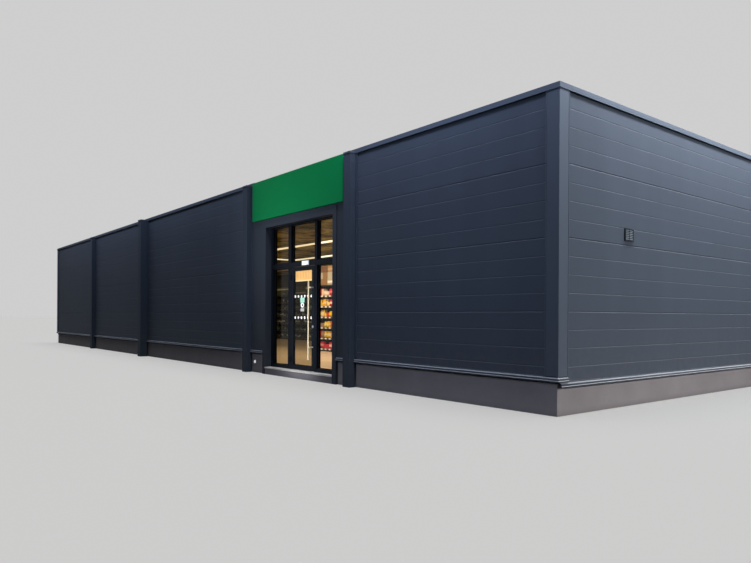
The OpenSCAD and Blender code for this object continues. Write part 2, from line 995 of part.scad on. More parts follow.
// Frame with sloping blades in front of a back plate
module wall_vent() {
    pitch = (vent_h - 2 * vent_rim) / vent_blades;
    low = pitch * blade_low;
    high = pitch * blade_high;
    thick = pitch * blade_t;
    color("#2c3138")
        translate([x_right, y_front + vent_y - vent_w / 2, vent_z - vent_h / 2]) {
            difference() {
                cube([vent_out, vent_w, vent_h]);
                translate([vent_plate, vent_rim, vent_rim])
                    cube([vent_out, vent_w - 2 * vent_rim, vent_h - 2 * vent_rim]);
            }
            for (i = [0 : vent_blades - 1])
                translate([0, vent_w - vent_rim + eps, vent_rim + i * pitch])
                    rotate([90, 0, 0])
                        linear_extrude(height = vent_w - 2 * vent_rim + 2 * eps)
                            polygon([
                                [vent_plate - eps, high], [vent_out - eps, low],
                                [vent_out - eps, low + thick], [vent_plate - eps, high + thick]
                            ]);
        }
}

// Shelf racks

// One rack with its back at y = 0 and its shelves towards -y
module rack(w) {
    translate([0, -rack_t, 0])
        cube([w, rack_t, rack_h]);
    for (x = [0, w - rack_t])
        translate([x, -rack_d, 0])
            cube([rack_t, rack_d, rack_h]);
    translate([0, -rack_d, 0])
        cube([w, rack_d, base_h]);
    for (i = [1 : shelves])
        translate([0, -rack_d, base_h + i * shelf_pitch - shelf_t])
            cube([w, rack_d, shelf_t]);
}

// The goods of a rack, one block a shelf and one on top of it
module goods(w) {
    side = rack_t + goods_play;
    for (i = [0 : shelves])
        translate([side, -rack_d + side, base_h + i * shelf_pitch])
            cube([
                w - 2 * side, rack_d - side - rack_t,
                i < shelves ? shelf_pitch - shelf_t - goods_gap : top_goods_h
            ]);
}

module at_middle_rack() {
    translate([x_right - rack_x, y_front + rack_y + rack_d, floor_h])
        children();
}

module at_back_run() {
    translate([x_right - run_x - run_w, y_back - plinth_set - plinth_t, floor_h])
        children();
}

module shelf_racks() {
    color("#4a4640") {
        at_middle_rack()
            rack(rack_w);
        at_back_run()
            rack(run_w);
    }
}

module shelf_goods() {
    color("#b5742e") {
        at_middle_rack()
            goods(rack_w);
        at_back_run()
            goods(run_w);
    }
}

floor_slab();
door_step();
front_plinth();
right_plinth();
back_plinth();
left_plinth();
front_wall_right();
front_wall_over_door();
front_wall_left();
right_wall();
back_wall();
left_wall();
front_drip_flashing();
right_drip_flashing();
back_drip_flashing();
left_drip_flashing();
corner_flashings();
pilaster_1();
pilaster_2();
pilaster_3();
pilaster_4();
back_pilasters();
front_coping();
right_coping();
back_coping();
left_coping();
roof_deck();
ceiling();
ceiling_lights();
portal_frame();
portal_side_sheets();
sign_box();
door_sill();
storefront_frame();
storefront_glass();
door_leaf();
door_glass();
door_hinges();
pull_handle();
door_lock();
over_door_lamp();
header_box();
plinth_lamp();
wall_vent();
shelf_racks();
shelf_goods();
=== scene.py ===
"""Looks of a single-storey supermarket building: coated steel panels, flashings,
a glass entrance with a hinged door, and the stocked shelves behind the glass."""

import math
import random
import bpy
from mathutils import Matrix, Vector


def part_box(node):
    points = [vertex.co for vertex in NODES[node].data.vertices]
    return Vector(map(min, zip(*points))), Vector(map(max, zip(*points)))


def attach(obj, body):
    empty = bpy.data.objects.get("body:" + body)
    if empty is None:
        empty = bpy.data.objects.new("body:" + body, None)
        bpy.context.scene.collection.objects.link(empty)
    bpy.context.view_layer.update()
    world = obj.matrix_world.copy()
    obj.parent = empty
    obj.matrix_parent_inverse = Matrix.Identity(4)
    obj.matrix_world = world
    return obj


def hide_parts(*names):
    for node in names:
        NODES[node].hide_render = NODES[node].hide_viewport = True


bl_info = {
    "name": "Supermarket Building",
    "version": (1, 0, 0),
    "blender": (4, 5, 0),
    "location": "View3D > Sidebar > Supermarket",
    "description": "Finishes and details for a single-storey supermarket building",
    "category": "Object",
}

import bmesh
import bpy
from mathutils import Matrix, Vector

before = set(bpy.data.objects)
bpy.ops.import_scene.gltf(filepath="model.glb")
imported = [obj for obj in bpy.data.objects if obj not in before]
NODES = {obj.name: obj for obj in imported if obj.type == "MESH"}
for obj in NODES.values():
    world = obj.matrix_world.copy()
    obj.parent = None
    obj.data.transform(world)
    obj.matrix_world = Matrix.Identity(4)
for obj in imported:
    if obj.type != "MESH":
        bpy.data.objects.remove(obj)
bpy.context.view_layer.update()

# How far the outer faces of the side walls and of the long walls lie from the middle
WALL_X = -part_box("left_wall")[0].x
WALL_Y = -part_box("front_wall_left")[0].y

MM = 0.001
WHITE = (1.0, 1.0, 1.0, 1.0)
# Inputs of a Mix node that mixes colours
FACTOR, FIRST, SECOND = 0, 6, 7

# Prints of the packs on the middle rack and in the dim back run
BRIGHT_PRINTS = (
    "f2c21e", "e2431c", "f0b020", "f0c8a8", "e9762b", "f6d23c", "d9283a", "a8826a",
)
DIM_PRINTS = ("3d4a2c", "4a3c22", "24221f", "5c7450", "3f3a20", "2b2824")
BRIGHT_CASES = ("9a7040", "6e4526", "a89a84", "8a6238", "463422")
DIM_CASES = ("5c5a34", "3f4a30", "4a4a2c")
# Width, depth and height of the packs that aren't round, and of the shipping case
CARTONS = ((0.13, 0.09, 0.22), (0.17, 0.13, 0.15), (0.08, 0.08, 0.25))
POUCHES = ((0.16, 0.07, 0.23), (0.12, 0.06, 0.19))
CASE = (0.27, 0.24, 0.21)
# Radius and height of the round packs, with their outlines as shares of the two
BOTTLE = (0.038, 0.25)
BOTTLE_OUTLINE = (
    (0.9, 0), (1, 0.03), (1, 0.62), (0.45, 0.8), (0.38, 0.9), (0.48, 0.91), (0.46, 1),
)
JAR = (0.042, 0.14)
JAR_OUTLINE = (
    (0.92, 0), (1, 0.05), (1, 0.72), (0.86, 0.8), (0.94, 0.82), (0.94, 0.98), (0.86, 1),
)


def linear(colour):
    """Linear RGB of an sRGB colour written as RRGGBB."""
    parts = [int(colour[i : i + 2], 16) / 255 for i in (0, 2, 4)]
    return [c / 12.92 if c <= 0.04045 else ((c + 0.055) / 1.055) ** 2.4 for c in parts]


def colour_property(name, colour):
    """A colour that a user can change, with its default as RRGGBB."""
    return bpy.props.FloatVectorProperty(
        name=name, description="Colour of the " + name.lower(), subtype="COLOR",
        size=3, min=0, max=1, default=linear(colour),
    )


def length_property(name, description, default):
    """A length in metres that a user can change."""
    return bpy.props.FloatProperty(
        name=name, description=description, default=default, min=0, unit="LENGTH"
    )


def strength_property(name, description, default):
    """A strength without a unit that a user can change."""
    return bpy.props.FloatProperty(name=name, description=description, default=default, min=0)


def power_property(name, description, default):
    """A lamp's power in watts that a user can change."""
    return bpy.props.FloatProperty(
        name=name, description="Power of the " + description.lower(), default=default, min=0,
        unit="POWER",
    )


def angle_property(name, description, degrees):
    """An angle that a user can change, with its default in degrees."""
    return bpy.props.FloatProperty(
        name=name, description=description, default=math.radians(degrees), subtype="ANGLE"
    )


def count_property(name, description, default):
    """A number of like parts that a user can change."""
    return bpy.props.IntProperty(name=name, description=description, default=default, min=2)


# Settings


class StageSettings(bpy.types.PropertyGroup):
    """Floor, lights and camera"""

    floor_size: length_property("Floor", "Side of the floor", 900.0)
    floor_colour: colour_property("Floor", "d0d0ce")
    bounce: strength_property("Bounce", "Share of the floor's colour that it throws back", 0.12)
    floor_glow: strength_property("Floor glow", "Light of the floor itself, as it is seen", 0.355)
    sky: strength_property("Sky", "Strength of the even light from all round", 0.05)
    backdrop: strength_property("Backdrop", "Brightness of the background", 0.62)
    sun: strength_property("Sun", "Strength of the wide light from above", 1.1)
    sun_width: angle_property("Sun width", "How wide the light from above is", 50)
    sun_from: bpy.props.FloatVectorProperty(
        name="Sun from", description="Direction that the wide light comes from", subtype="XYZ",
        default=(0.06, -0.05, 1.0),
    )
    warm: colour_property("Warm lamps", "fff8ee")
    cool: colour_property("Cool lamps", "e8eeff")
    indoor: colour_property("Indoor lamps", "fff0d8")
    box_off: length_property("Softbox distance", "From a wall to its softbox", 9.0)
    box_z: length_property("Softbox height", "Height of a softbox above the ground", 3.2)
    box_aim: length_property("Softbox aim", "Height on the wall that it points at", 2.2)
    box_depth: length_property("Softbox size", "Height of a softbox's own face", 3.0)
    strip_off: length_property("Strip distance", "From a wall to the strip over its top", 1.0)
    strip_z: length_property("Strip height", "Height of a strip above the ground", 6.4)
    strip_aim: length_property("Strip aim", "Height over the wall that it points at", 5.2)
    strip_depth: length_property("Strip width", "Width of a strip's own face", 0.5)
    rear_off: length_property("Rear strip distance", "From a wall to a rear strip", 1.8)
    rear_z: length_property("Rear strip height", "Height of a rear strip", 6.2)
    rear_aim: length_property("Rear strip aim", "Height over the wall that it points at", 5.8)
    rear_depth: length_property("Rear strip width", "Width of a rear strip's own face", 0.8)
    rear_gain: strength_property("Back wall", "Power at the back for 1 at the left", 1.6)
    right_face: power_property("Right face", "Softbox in front of the right wall", 840.0)
    right_top: power_property("Right top", "Strip over the right wall's top", 1080.0)
    bay_face: power_property("Bay face", "Softbox in front of the right bay", 125.0)
    bay_top: power_property("Bay top", "Strip over the right bay's top", 160.0)
    row_top: power_property("Row top", "Strip over the other bays' top", 250.0)
    rear_face: power_property("Rear face", "Softboxes at the back and left", 700.0)
    rear_top: power_property("Rear top", "Strips over the back and left walls", 700.0)
    door_face: power_property("Door face", "Softbox in front of the entrance", 19.0)
    door_spread: angle_property("Door spread", "Width of the entrance lamp's beam", 100)
    leaf_face: power_property("Leaf face", "Upright strip in front of the door", 9.0)
    leaf_spread: angle_property("Leaf spread", "Width of the upright strip's beam", 80)
    shop_z: length_property("Shop lamps", "Height of the lamps inside the shop", 3.36)
    shop_front: power_property("Shop front", "Lamp behind the entrance", 400.0)
    shop_rest: power_property("Shop rest", "Lamp in the rest of the shop", 200.0)
    eye: bpy.props.FloatVectorProperty(
        name="Eye", description="Place of the camera", subtype="TRANSLATION",
        default=(19.102, -12.207, 1.330),
    )
    heading: angle_property("Heading", "Turn of the camera to the left of straight ahead", 51.26)
    roll: angle_property("Roll", "Turn of the camera about its own axis", 0.3)
    lens: bpy.props.FloatProperty(
        name="Lens", description="Focal length in millimetres on a 36 mm sensor", default=30.62
    )
    rise: bpy.props.FloatProperty(
        name="Rise", description="Vertical shift of the lens", default=0.0466
    )


class FinishSettings(bpy.types.PropertyGroup):
    """Colours of the building's materials"""

    panel: colour_property("Wall panels", "404958")
    lining: colour_property("Panels' inner lining", "4b4336")
    flashing: colour_property("Flashings", "485262")
    # Drip flashings are the same steel as the other flashings, painted darker as painted shade for
    # their shaded lower faces
    drip: colour_property("Drip flashings", "39424f")
    pilaster: colour_property("Pilasters", "3b4554")
    portal: colour_property("Portal", "3a414c")
    plinth: colour_property("Plinth", "908e96")
    sill: colour_property("Sill", "e6e4e0")
    sign: colour_property("Sign box", "007c46")
    storefront: colour_property("Storefront frame", "10161e")
    glass: colour_property("Glass", "f4f8f6")
    tint: colour_property("Tinted glass", "c6c3b2")
    bar: colour_property("Pull bar", "ffe6c4")
    steel: colour_property("Brushed steel", "e2e4e6")
    lamp: colour_property("Lamp housings", "eef0f2")
    slats: colour_property("Slats", "e6c08a")
    vent: colour_property("Vent", "262b33")
    vent_blades: colour_property("Vent blades", "5c6775")
    rack: colour_property("Racks", "3d3833")
    tiles: colour_property("Floor tiles", "cdb494")
    grout: colour_property("Grout", "8c7a60")
    ceiling: colour_property("Ceiling boards", "948846")
    roof: colour_property("Roof panels", "9a9c9c")
    glow: colour_property("Lit tubes", "fff0d2")
    lit_depth: length_property("Lit rows", "Rows of lights up to this depth are lit", 1.7)
    rail: colour_property("Price rails", "6a5a52")
    # The rails and tickets at the back are darker copies of the front ones: painted shade of the
    # dim back of the shop
    ticket: colour_property("Price tickets", "f6f1e6")
    dark_rail: colour_property("Price rails at the back", "24221f")
    dim_ticket: colour_property("Price tickets at the back", "6b675c")
    film: colour_property("White film", "f7f8f8")
    green_film: colour_property("Green film", "9fdcc4")
    grey_film: colour_property("Grey film", "a9abad")
    rubber: colour_property("Gaskets", "141516")


class GoodsSettings(bpy.types.PropertyGroup):
    """Packs and price rails on the shelves"""

    seed: bpy.props.IntProperty(name="Seed", description="Order of the packs", default=11)
    gap: length_property("Gap", "Gap between two packs", 0.006)
    uneven: strength_property("Uneven", "How much shorter than its kind a pack may be", 0.12)
    stagger: length_property("Stagger", "How far a group of packs may stand back", 0.02)
    rail_h: length_property("Rail", "Height of a price rail", 0.05)
    rail_out: length_property("Rail depth", "How far a price rail stands out", 0.012)
    rail_end: length_property("Rail end", "From the rack's end to a price rail", 0.02)
    rail_lip: length_property("Rail lip", "Width of the lips of a rail's channel", 0.003)
    channel: length_property("Channel", "Depth of a rail's channel", 0.004)
    ticket_w: length_property("Ticket", "Width of a price ticket", 0.1)
    ticket_pitch: length_property("Ticket pitch", "Distance between two price tickets", 0.23)
    ticket_start: length_property("First ticket", "From a rail's end to its first ticket", 0.04)
    ticket_set: length_property("Ticket set", "From a rail's face back to a ticket", 0.0005)


class GlazingSettings(bpy.types.PropertyGroup):
    """Marks on the door's glass and gaskets round the panes"""

    dot_r: length_property("Dot", "Radius of a dot on the glass", 0.031)
    dot_pitch: length_property("Dot pitch", "Distance between two dots", 0.127)
    dots: count_property("Dots", "Dots in a row", 6)
    upper_row: length_property("Upper dots", "Height of the upper row of dots", 1.755)
    lower_row: length_property("Lower dots", "Height of the lower row of dots", 1.297)
    ring_r: length_property("Ring", "Radius of the ring on the glass", 0.072)
    ring_w: length_property("Ring width", "Width of the ring's band", 0.042)
    ring_z: length_property("Ring height", "Height of the ring above the ground", 1.566)
    ring_flat: strength_property("Ring flatness", "Height of the ring over its width", 0.72)
    mark_left: length_property("Mark offset", "How far the ring lies left of the middle", 0.03)
    upper_label_w: length_property("Upper label", "Width of the upper label", 0.17)
    upper_label_low: length_property("Upper label's foot", "Height of its lower edge", 1.62)
    upper_label_top: length_property("Upper label's top", "Height of its upper edge", 1.727)
    lower_label_w: length_property("Lower label", "Width of the lower label", 0.15)
    lower_label_low: length_property("Lower label's foot", "Height of its lower edge", 1.431)
    lower_label_top: length_property("Lower label's top", "Height of its upper edge", 1.496)
    label_round: length_property("Label corner", "Radius of a label's corners", 0.015)
    film_t: length_property("Film", "Thickness of the film on the glass", 0.0006)
    gasket_w: length_property("Gasket", "Width of a glazing gasket", 0.005)
    gasket_t: length_property("Gasket depth", "Thickness of a glazing gasket", 0.004)
    bead_w: length_property("Bead", "Width of the glazing bead round a pane", 0.014)


class HeaderSettings(bpy.types.PropertyGroup):
    """Slatted header behind the door"""

    slat_w: length_property("Slat", "Width of a slat", 0.042)
    slat_t: length_property("Slat depth", "Depth of a slat", 0.018)
    slats: count_property("Slats", "Slats in the header", 15)
    # The slats' glow is painted light: an emission for the light that falls on them from in front
    glow: strength_property("Slat glow", "How strongly the slats are lit from in front", 1.5)
    board_t: length_property("Board", "Thickness of the board behind the slats", 0.03)
    board_rim: length_property("Board rim", "Width of the rim round the board's back", 0.02)
    board_recess: length_property("Board recess", "Depth of the back inside its rim", 0.01)
    arm_w: length_property("Arm", "Width of an arm that holds the board", 0.03)
    arm_t: length_property("Arm thickness", "Thickness of an arm", 0.01)
    arm_drop: length_property("Arm drop", "From the board's top down to an arm", 0.05)
    arm_lap: length_property("Arm lap", "How far an arm reaches into the board", 0.012)
    arm_in: strength_property("Arm place", "Share of the width from an end to an arm", 0.25)
    strip_h: length_property("Strip", "Height of the light strip", 0.022)
    strip_out: length_property("Strip depth", "How far the light strip stands out", 0.012)
    strip_lap: length_property("Strip lap", "How far it reaches in between the slats", 0.006)
    strip_end: length_property("Strip end", "From the header's end to the light strip", 0.01)


class LampSettings(bpy.types.PropertyGroup):
    """Lamp over the door and round lamp on the plinth"""

    glow: strength_property("Cover glow", "Light of the opal covers", 0.6)
    rim: length_property("Rim", "Width of the housing's rim", 0.012)
    recess: length_property("Recess", "Depth of the housing's face inside its rim", 0.006)
    cover_in: length_property("Cover inset", "From the housing's edge to the cover", 0.014)
    cover_set: length_property("Cover set", "From the housing's front to the cover's", 0.001)
    cover_back: length_property("Cover back", "From the housing's front to its back", 0.014)
    cover_rim: length_property("Cover rim", "Width of the cover's border", 0.01)
    base_deep: strength_property("Base", "Share of the round lamp's depth in its base", 0.4)
    step_w: strength_property("Step width", "Share of its radius in the base's rim", 0.12)
    step_deep: strength_property("Step depth", "Share of its depth in the base's step", 0.1)
    dome_from: strength_property("Dome foot", "Share of the depth where the dome starts", 0.3)
    dome_rise: strength_property("Dome rise", "Share of the depth that the dome rises by", 0.69)
    dome_w: strength_property("Dome width", "Share of the radius that the dome covers", 0.86)
    dome_rings: count_property("Dome rings", "Rings of faces up the dome", 5)
    dome_turn: angle_property("Dome turn", "Turn from one ring of the dome to the next", 17)


class VentSettings(bpy.types.PropertyGroup):
    """Grille on the right wall"""

    rim: length_property("Rim", "Width of the frame", 0.018)
    plate: length_property("Plate", "Thickness of the back plate", 0.004)
    blade_t: length_property("Blade", "Thickness of a blade", 0.012)
    blade_set: length_property("Blade set", "From the frame's face back to the blades", 0.003)
    blades: count_property("Blades", "Blades in the vent", 6)
    droop: strength_property("Droop", "Share of the pitch that a blade's edge hangs by", 0.35)
    post_w: length_property("Post", "Width of the post in the middle", 0.009)
    post_set: length_property("Post set", "From the frame's face back to the post", 0.002)


# Helpers


def add(tree, kind, values=None, **options):
    """Adds one shader node with its options, socket values and links."""
    made = tree.nodes.new("ShaderNode" + kind)
    for option, value in options.items():
        setattr(made, option, value)
    feed(tree, made, values or {})
    return made


def feed(tree, made, values):
    """Sets a node's sockets, or links them to a socket or to a node's first output."""
    for socket, value in values.items():
        if isinstance(value, bpy.types.Node):
            value = next(output for output in value.outputs if output.enabled)
        if isinstance(value, bpy.types.NodeSocket):
            tree.links.new(value, made.inputs[socket])
        else:
            made.inputs[socket].default_value = value


def start_material(name, **shader_values):
    """A new material with its Principled shader and its Object coordinates."""
    material = bpy.data.materials.new(name)
    material.use_nodes = True
    tree = material.node_tree
    shader = tree.nodes["Principled BSDF"]
    for socket, value in shader_values.items():
        shader.inputs[socket.replace("_", " ")].default_value = value
    place = add(tree, "TexCoord").outputs["Object"]
    return material, tree, shader, place


def rgba(colour, factor=1.0):
    """A colour as RGBA, made lighter or darker by a factor."""
    return [min(1.0, c * factor) for c in colour] + [1.0]


def deselect_all():
    """Leaves object mode with nothing selected."""
    if bpy.context.object and bpy.context.object.mode != "OBJECT":
        bpy.ops.object.mode_set(mode="OBJECT")
    bpy.ops.object.select_all(action="DESELECT")


def select_only(pieces):
    """Selects these pieces, with the first one active."""
    deselect_all()
    for piece in pieces:
        piece.select_set(True)
    bpy.context.view_layer.objects.active = pieces[0]


def settle(name):
    """Names a new primitive and moves its place into its mesh."""
    piece = bpy.context.object
    piece.name = name
    piece.data.name = name
    bpy.ops.object.transform_apply(location=True, rotation=True, scale=True)
    return piece


def add_box(name, low, high):
    """A box between two corners, as the start of a piece."""
    deselect_all()
    middle = (Vector(low) + Vector(high)) / 2
    bpy.ops.mesh.primitive_cube_add(size=1, location=middle, scale=Vector(high) - Vector(low))
    return settle(name)


def add_disc(name, centre, radius, sides, upright=True):
    """A filled circle that faces the front, or up, as the start of a piece."""
    deselect_all()
    turn = (math.radians(90), 0, 0) if upright else (0, 0, 0)
    bpy.ops.mesh.primitive_circle_add(
        vertices=sides, radius=radius, fill_type="NGON", location=centre, rotation=turn
    )
    return settle(name)


def add_plate(name, low, high):
    """A flat rectangle that faces the front, as the start of a piece."""
    deselect_all()
    middle = (Vector(low) + Vector(high)) / 2
    size = Vector(high) - Vector(low)
    bpy.ops.mesh.primitive_plane_add(
        size=1, location=middle, rotation=(math.radians(90), 0, 0)
    )
    bpy.context.object.scale = (size.x, size.z, 1)
    return settle(name)


def edit(piece, kind, test):
    """Opens a piece in edit mode with only the elements selected that pass a test."""
    select_only([piece])
    bpy.ops.object.mode_set(mode="EDIT")
    bpy.ops.mesh.select_mode(type=kind)
    bpy.ops.mesh.select_all(action="DESELECT")
    mesh = bmesh.from_edit_mesh(piece.data)
    for element in {"VERT": mesh.verts, "EDGE": mesh.edges, "FACE": mesh.faces}[kind]:
        if test(element):
            element.select_set(True)
    mesh.select_flush_mode()
    bmesh.update_edit_mesh(piece.data)


def facing(x, y, z):
    """Test for the faces that look one way."""
    return lambda face: face.normal.dot(Vector((x, y, z))) > 0.9


def done():
    """Leaves edit mode."""
    bpy.ops.object.mode_set(mode="OBJECT")


def extrude(x, y, z):
    """Extrudes the selected faces by a distance."""
    bpy.ops.mesh.extrude_region_move(TRANSFORM_OT_translate={"value": (x, y, z)})


def resize(factor, centre):
    """Scales what is selected about a point."""
    bpy.ops.transform.resize(value=factor, center_override=centre)


def sink(piece, way, rim, depth):
    """Sinks the face that looks one way, inside a rim."""
    edit(piece, "FACE", facing(*way))
    bpy.ops.mesh.inset(thickness=rim)
    extrude(*(-depth * Vector(way)))
    done()


def hollow(piece, band):
    """Cuts away the middle of a flat piece, so that a band is left."""
    edit(piece, "FACE", lambda face: True)
    bpy.ops.mesh.inset(thickness=band)
    bpy.ops.mesh.delete(type="FACE")
    done()


def make_solid(piece, thickness):
    """Gives a flat piece its thickness, behind its face."""
    modify(piece, "SOLIDIFY", thickness=thickness, offset=-1.0)


def modify(piece, kind, **settings):
    """Adds a modifier with its settings and applies it."""
    select_only([piece])
    modifier = piece.modifiers.new(kind.title(), kind)
    for name, value in settings.items():
        setattr(modifier, name, value)
    bpy.ops.object.modifier_apply(modifier=modifier.name)


def soften(piece, width, segments=2):
    """Rounds the edges of a piece."""
    modify(piece, "BEVEL", width=width, segments=segments, limit_method="ANGLE")
    smooth(piece)


def smooth(piece, degrees=40):
    """Shades a piece smooth, apart from edges that turn by more than an angle."""
    select_only([piece])
    bpy.ops.object.shade_smooth_by_angle(angle=math.radians(degrees))


def close_up(piece):
    """Merges doubles and turns all faces outwards."""
    edit(piece, "FACE", lambda face: True)
    bpy.ops.mesh.remove_doubles(threshold=0.02 * MM)
    bpy.ops.mesh.normals_make_consistent(inside=False)
    done()


def copy_of(piece, offset, scale=(1, 1, 1)):
    """A copy with its own mesh, scaled about the origin and then moved."""
    twin = piece.copy()
    twin.data = piece.data.copy()
    bpy.context.scene.collection.objects.link(twin)
    twin.data.transform(Matrix.Translation(offset) @ Matrix.Diagonal((*scale, 1)))
    return twin


def repeat(piece, count, offset):
    """Repeats a piece in a row, inside its own mesh."""
    if count > 1:
        modify(
            piece, "ARRAY", count=count, use_relative_offset=False, use_constant_offset=True,
            constant_offset_displace=offset,
        )


def join(name, pieces):
    """Joins pieces into one that has this name."""
    select_only(pieces)
    bpy.ops.object.join()
    pieces[0].name = name
    pieces[0].data.name = name
    return pieces[0]


def paint(piece, material):
    """Gives a new piece its finish."""
    piece.data.materials.clear()
    piece.data.materials.append(material)
    return piece


def seat(piece, body, slot, *replaced):
    """Ties a finished piece to its body and hides the nodes that it stands for; its slot is not
    used.
    """
    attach(piece, body)
    if replaced:
        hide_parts(*replaced)


def solids(name):
    """Boxes of a CAD node's separate solids, from a merged copy of its mesh."""
    mesh = bmesh.new()
    mesh.from_mesh(NODES[name].data)
    bmesh.ops.remove_doubles(mesh, verts=mesh.verts, dist=0.01 * MM)
    boxes, seen = [], set()
    for start in mesh.verts:
        if start in seen:
            continue
        seen.add(start)
        group, waiting = [], [start]
        while waiting:
            vert = waiting.pop()
            group.append(vert.co.copy())
            for edge in vert.link_edges:
                other = edge.other_vert(vert)
                if other not in seen:
                    seen.add(other)
                    waiting.append(other)
        boxes.append([Vector(pick(v[i] for v in group) for i in range(3)) for pick in (min, max)])
    mesh.free()
    return sorted(boxes, key=lambda box: (round(box[0].y, 2), round(box[0].z, 2), box[0].x))


def dress(name, material):
    """Gives a CAD node its finish."""
    slots = NODES[name].data.materials
    slots.clear()
    slots.append(material)


# Finishes


def coated_steel(name, colour, dust=0.10, wave=1.2, lining=None, lip_highlight=0.13):
    """Polyester-coated steel sheet: satin, with waves about a millimetre deep, faint
    run-off streaks, a veil of dust low down, and a painted highlight with some pale dust on what
    looks up."""
    material, tree, shader, place = start_material(
        name, Roughness=0.6, Specular_IOR_Level=0.03, IOR=1.5
    )
    # Patches about 2.5 m across, where sheets weathered differently
    patches = add(tree, "TexNoise", {"Vector": place, "Scale": 0.4, "Detail": 3.0})
    # Soft streaks 500 mm wide and some 5 m long, where rain runs off the coping
    stretched = add(tree, "Mapping", {"Vector": place, "Scale": (2.0, 2.0, 0.2)})
    streaks = add(tree, "TexNoise", {"Vector": stretched, "Scale": 1.0, "Detail": 2.0})
    weather = add(tree, "Math", {0: patches, 1: streaks}, operation="ADD")
    tone = add(tree, "MapRange", {"Value": weather, "From Min": 0.6, "From Max": 1.4})
    base = add(
        tree, "Mix", {FACTOR: tone, FIRST: rgba(colour, 0.93), SECOND: rgba(colour, 1.07)},
        data_type="RGBA",
    )
    # Dust thins out over the first metre above the plinth
    height = add(tree, "SeparateXYZ", {0: place})
    low = add(
        tree, "MapRange",
        {
            "Value": height.outputs["Z"], "From Min": 0.4, "From Max": 1.5,
            "To Min": dust, "To Max": 0.0,
        },
    )
    speckle = add(tree, "TexNoise", {"Vector": place, "Scale": 9.0, "Detail": 5.0})
    veil = add(tree, "Math", {0: low, 1: speckle}, operation="MULTIPLY")
    dusty = add(
        tree, "Mix", {FACTOR: veil, FIRST: base, SECOND: rgba(linear("8f8a80"))}, data_type="RGBA"
    )
    last = dusty
    if lining:
        # The inner skin has its own lining: it lies inside the wall's face
        skin = 50 * MM
        across = add(tree, "Math", {0: height.outputs["X"]}, operation="ABSOLUTE")
        along = add(tree, "Math", {0: height.outputs["Y"]}, operation="ABSOLUTE")
        inside_x = add(tree, "Math", {0: across, 1: WALL_X - skin}, operation="LESS_THAN")
        inside_y = add(tree, "Math", {0: along, 1: WALL_Y - skin}, operation="LESS_THAN")
        inside = add(tree, "Math", {0: inside_x, 1: inside_y}, operation="MULTIPLY")
        last = add(
            tree, "Mix", {FACTOR: inside, FIRST: dusty, SECOND: rgba(lining)}, data_type="RGBA"
        )
    # Lips and folds that look up are painted paler: a painted highlight where they catch the sky,
    # with some pale dust
    tilt = add(tree, "SeparateXYZ", {0: add(tree, "NewGeometry").outputs["Normal"]})
    highlight_share = add(
        tree, "MapRange",
        {
            "Value": tilt.outputs["Z"], "From Min": 0.15, "From Max": 0.5,
            "To Min": 0.0, "To Max": lip_highlight,
        },
    )
    dust_and_highlight = add(
        tree, "Mix", {FACTOR: highlight_share, FIRST: last, SECOND: rgba(linear("b4bcc8"))}, data_type="RGBA"
    )
    # Sheet metal is never quite flat: waves about 1.2 m long and 0.5 m high
    sheet = add(tree, "Mapping", {"Vector": place, "Scale": (0.6, 0.6, 1.4)})
    waves = add(tree, "TexNoise", {"Vector": sheet, "Scale": 1.4, "Detail": 1.0})
    bump = add(tree, "Bump", {"Height": waves, "Distance": wave * MM, "Strength": 1.0})
    feed(tree, shader, {"Base Color": dust_and_highlight, "Normal": bump})
    return material


def cement_render(name, colour):
    """Painted cement render: matt, cloudy, with a fine grain and a damp foot."""
    material, tree, shader, place = start_material(name, Roughness=0.88, Specular_IOR_Level=0.2)
    clouds = add(tree, "TexNoise", {"Vector": place, "Scale": 2.2, "Detail": 6.0, "Roughness": 0.6})
    base = add(
        tree, "Mix", {FACTOR: clouds, FIRST: rgba(colour, 0.82), SECOND: rgba(colour, 1.16)},
        data_type="RGBA",
    )
    height = add(tree, "SeparateXYZ", {0: place})
    # Splashes darken the lowest 90 mm
    foot = add(
        tree, "MapRange",
        {
            "Value": height.outputs["Z"], "From Min": 0.0, "From Max": 0.09,
            "To Min": 0.45, "To Max": 0.0,
        },
    )
    ragged = add(tree, "Math", {0: foot, 1: clouds}, operation="MULTIPLY")
    damp = add(
        tree, "Mix", {FACTOR: ragged, FIRST: base, SECOND: rgba(linear("3a3835"))}, data_type="RGBA"
    )
    # Grains of about 5 mm, drawn coarser than real sand so that they show
    grain = add(tree, "TexNoise", {"Vector": place, "Scale": 220.0, "Detail": 3.0})
    bump = add(tree, "Bump", {"Height": grain, "Distance": 0.6 * MM, "Strength": 0.6})
    feed(tree, shader, {"Base Color": damp, "Normal": bump})
    return material


def ceramic_tiles(name, colour, grout):
    """Glazed floor tiles, 600 mm square with 4 mm joints."""
    material, tree, shader, place = start_material(name, Roughness=0.28, Specular_IOR_Level=0.4)
    tiles = add(
        tree, "TexBrick",
        {
            "Vector": place, "Color1": rgba(colour, 0.94), "Color2": rgba(colour, 1.08),
            "Mortar": rgba(grout), "Scale": 1.0, "Mortar Size": 0.004,
            "Brick Width": 0.6, "Row Height": 0.6,
        },
        offset=0.0,
    )
    veins = add(tree, "TexNoise", {"Vector": place, "Scale": 5.0, "Detail": 8.0, "Distortion": 1.0})
    shade = add(
        tree, "Mix", {FACTOR: 0.35, FIRST: tiles.outputs["Color"], SECOND: veins}, data_type="RGBA",
        blend_type="SOFT_LIGHT",
    )
    bump = add(
        tree, "Bump", {"Height": tiles.outputs["Fac"], "Distance": MM, "Strength": 0.5}, invert=True
    )
    feed(tree, shader, {"Base Color": shade, "Normal": bump})
    return material


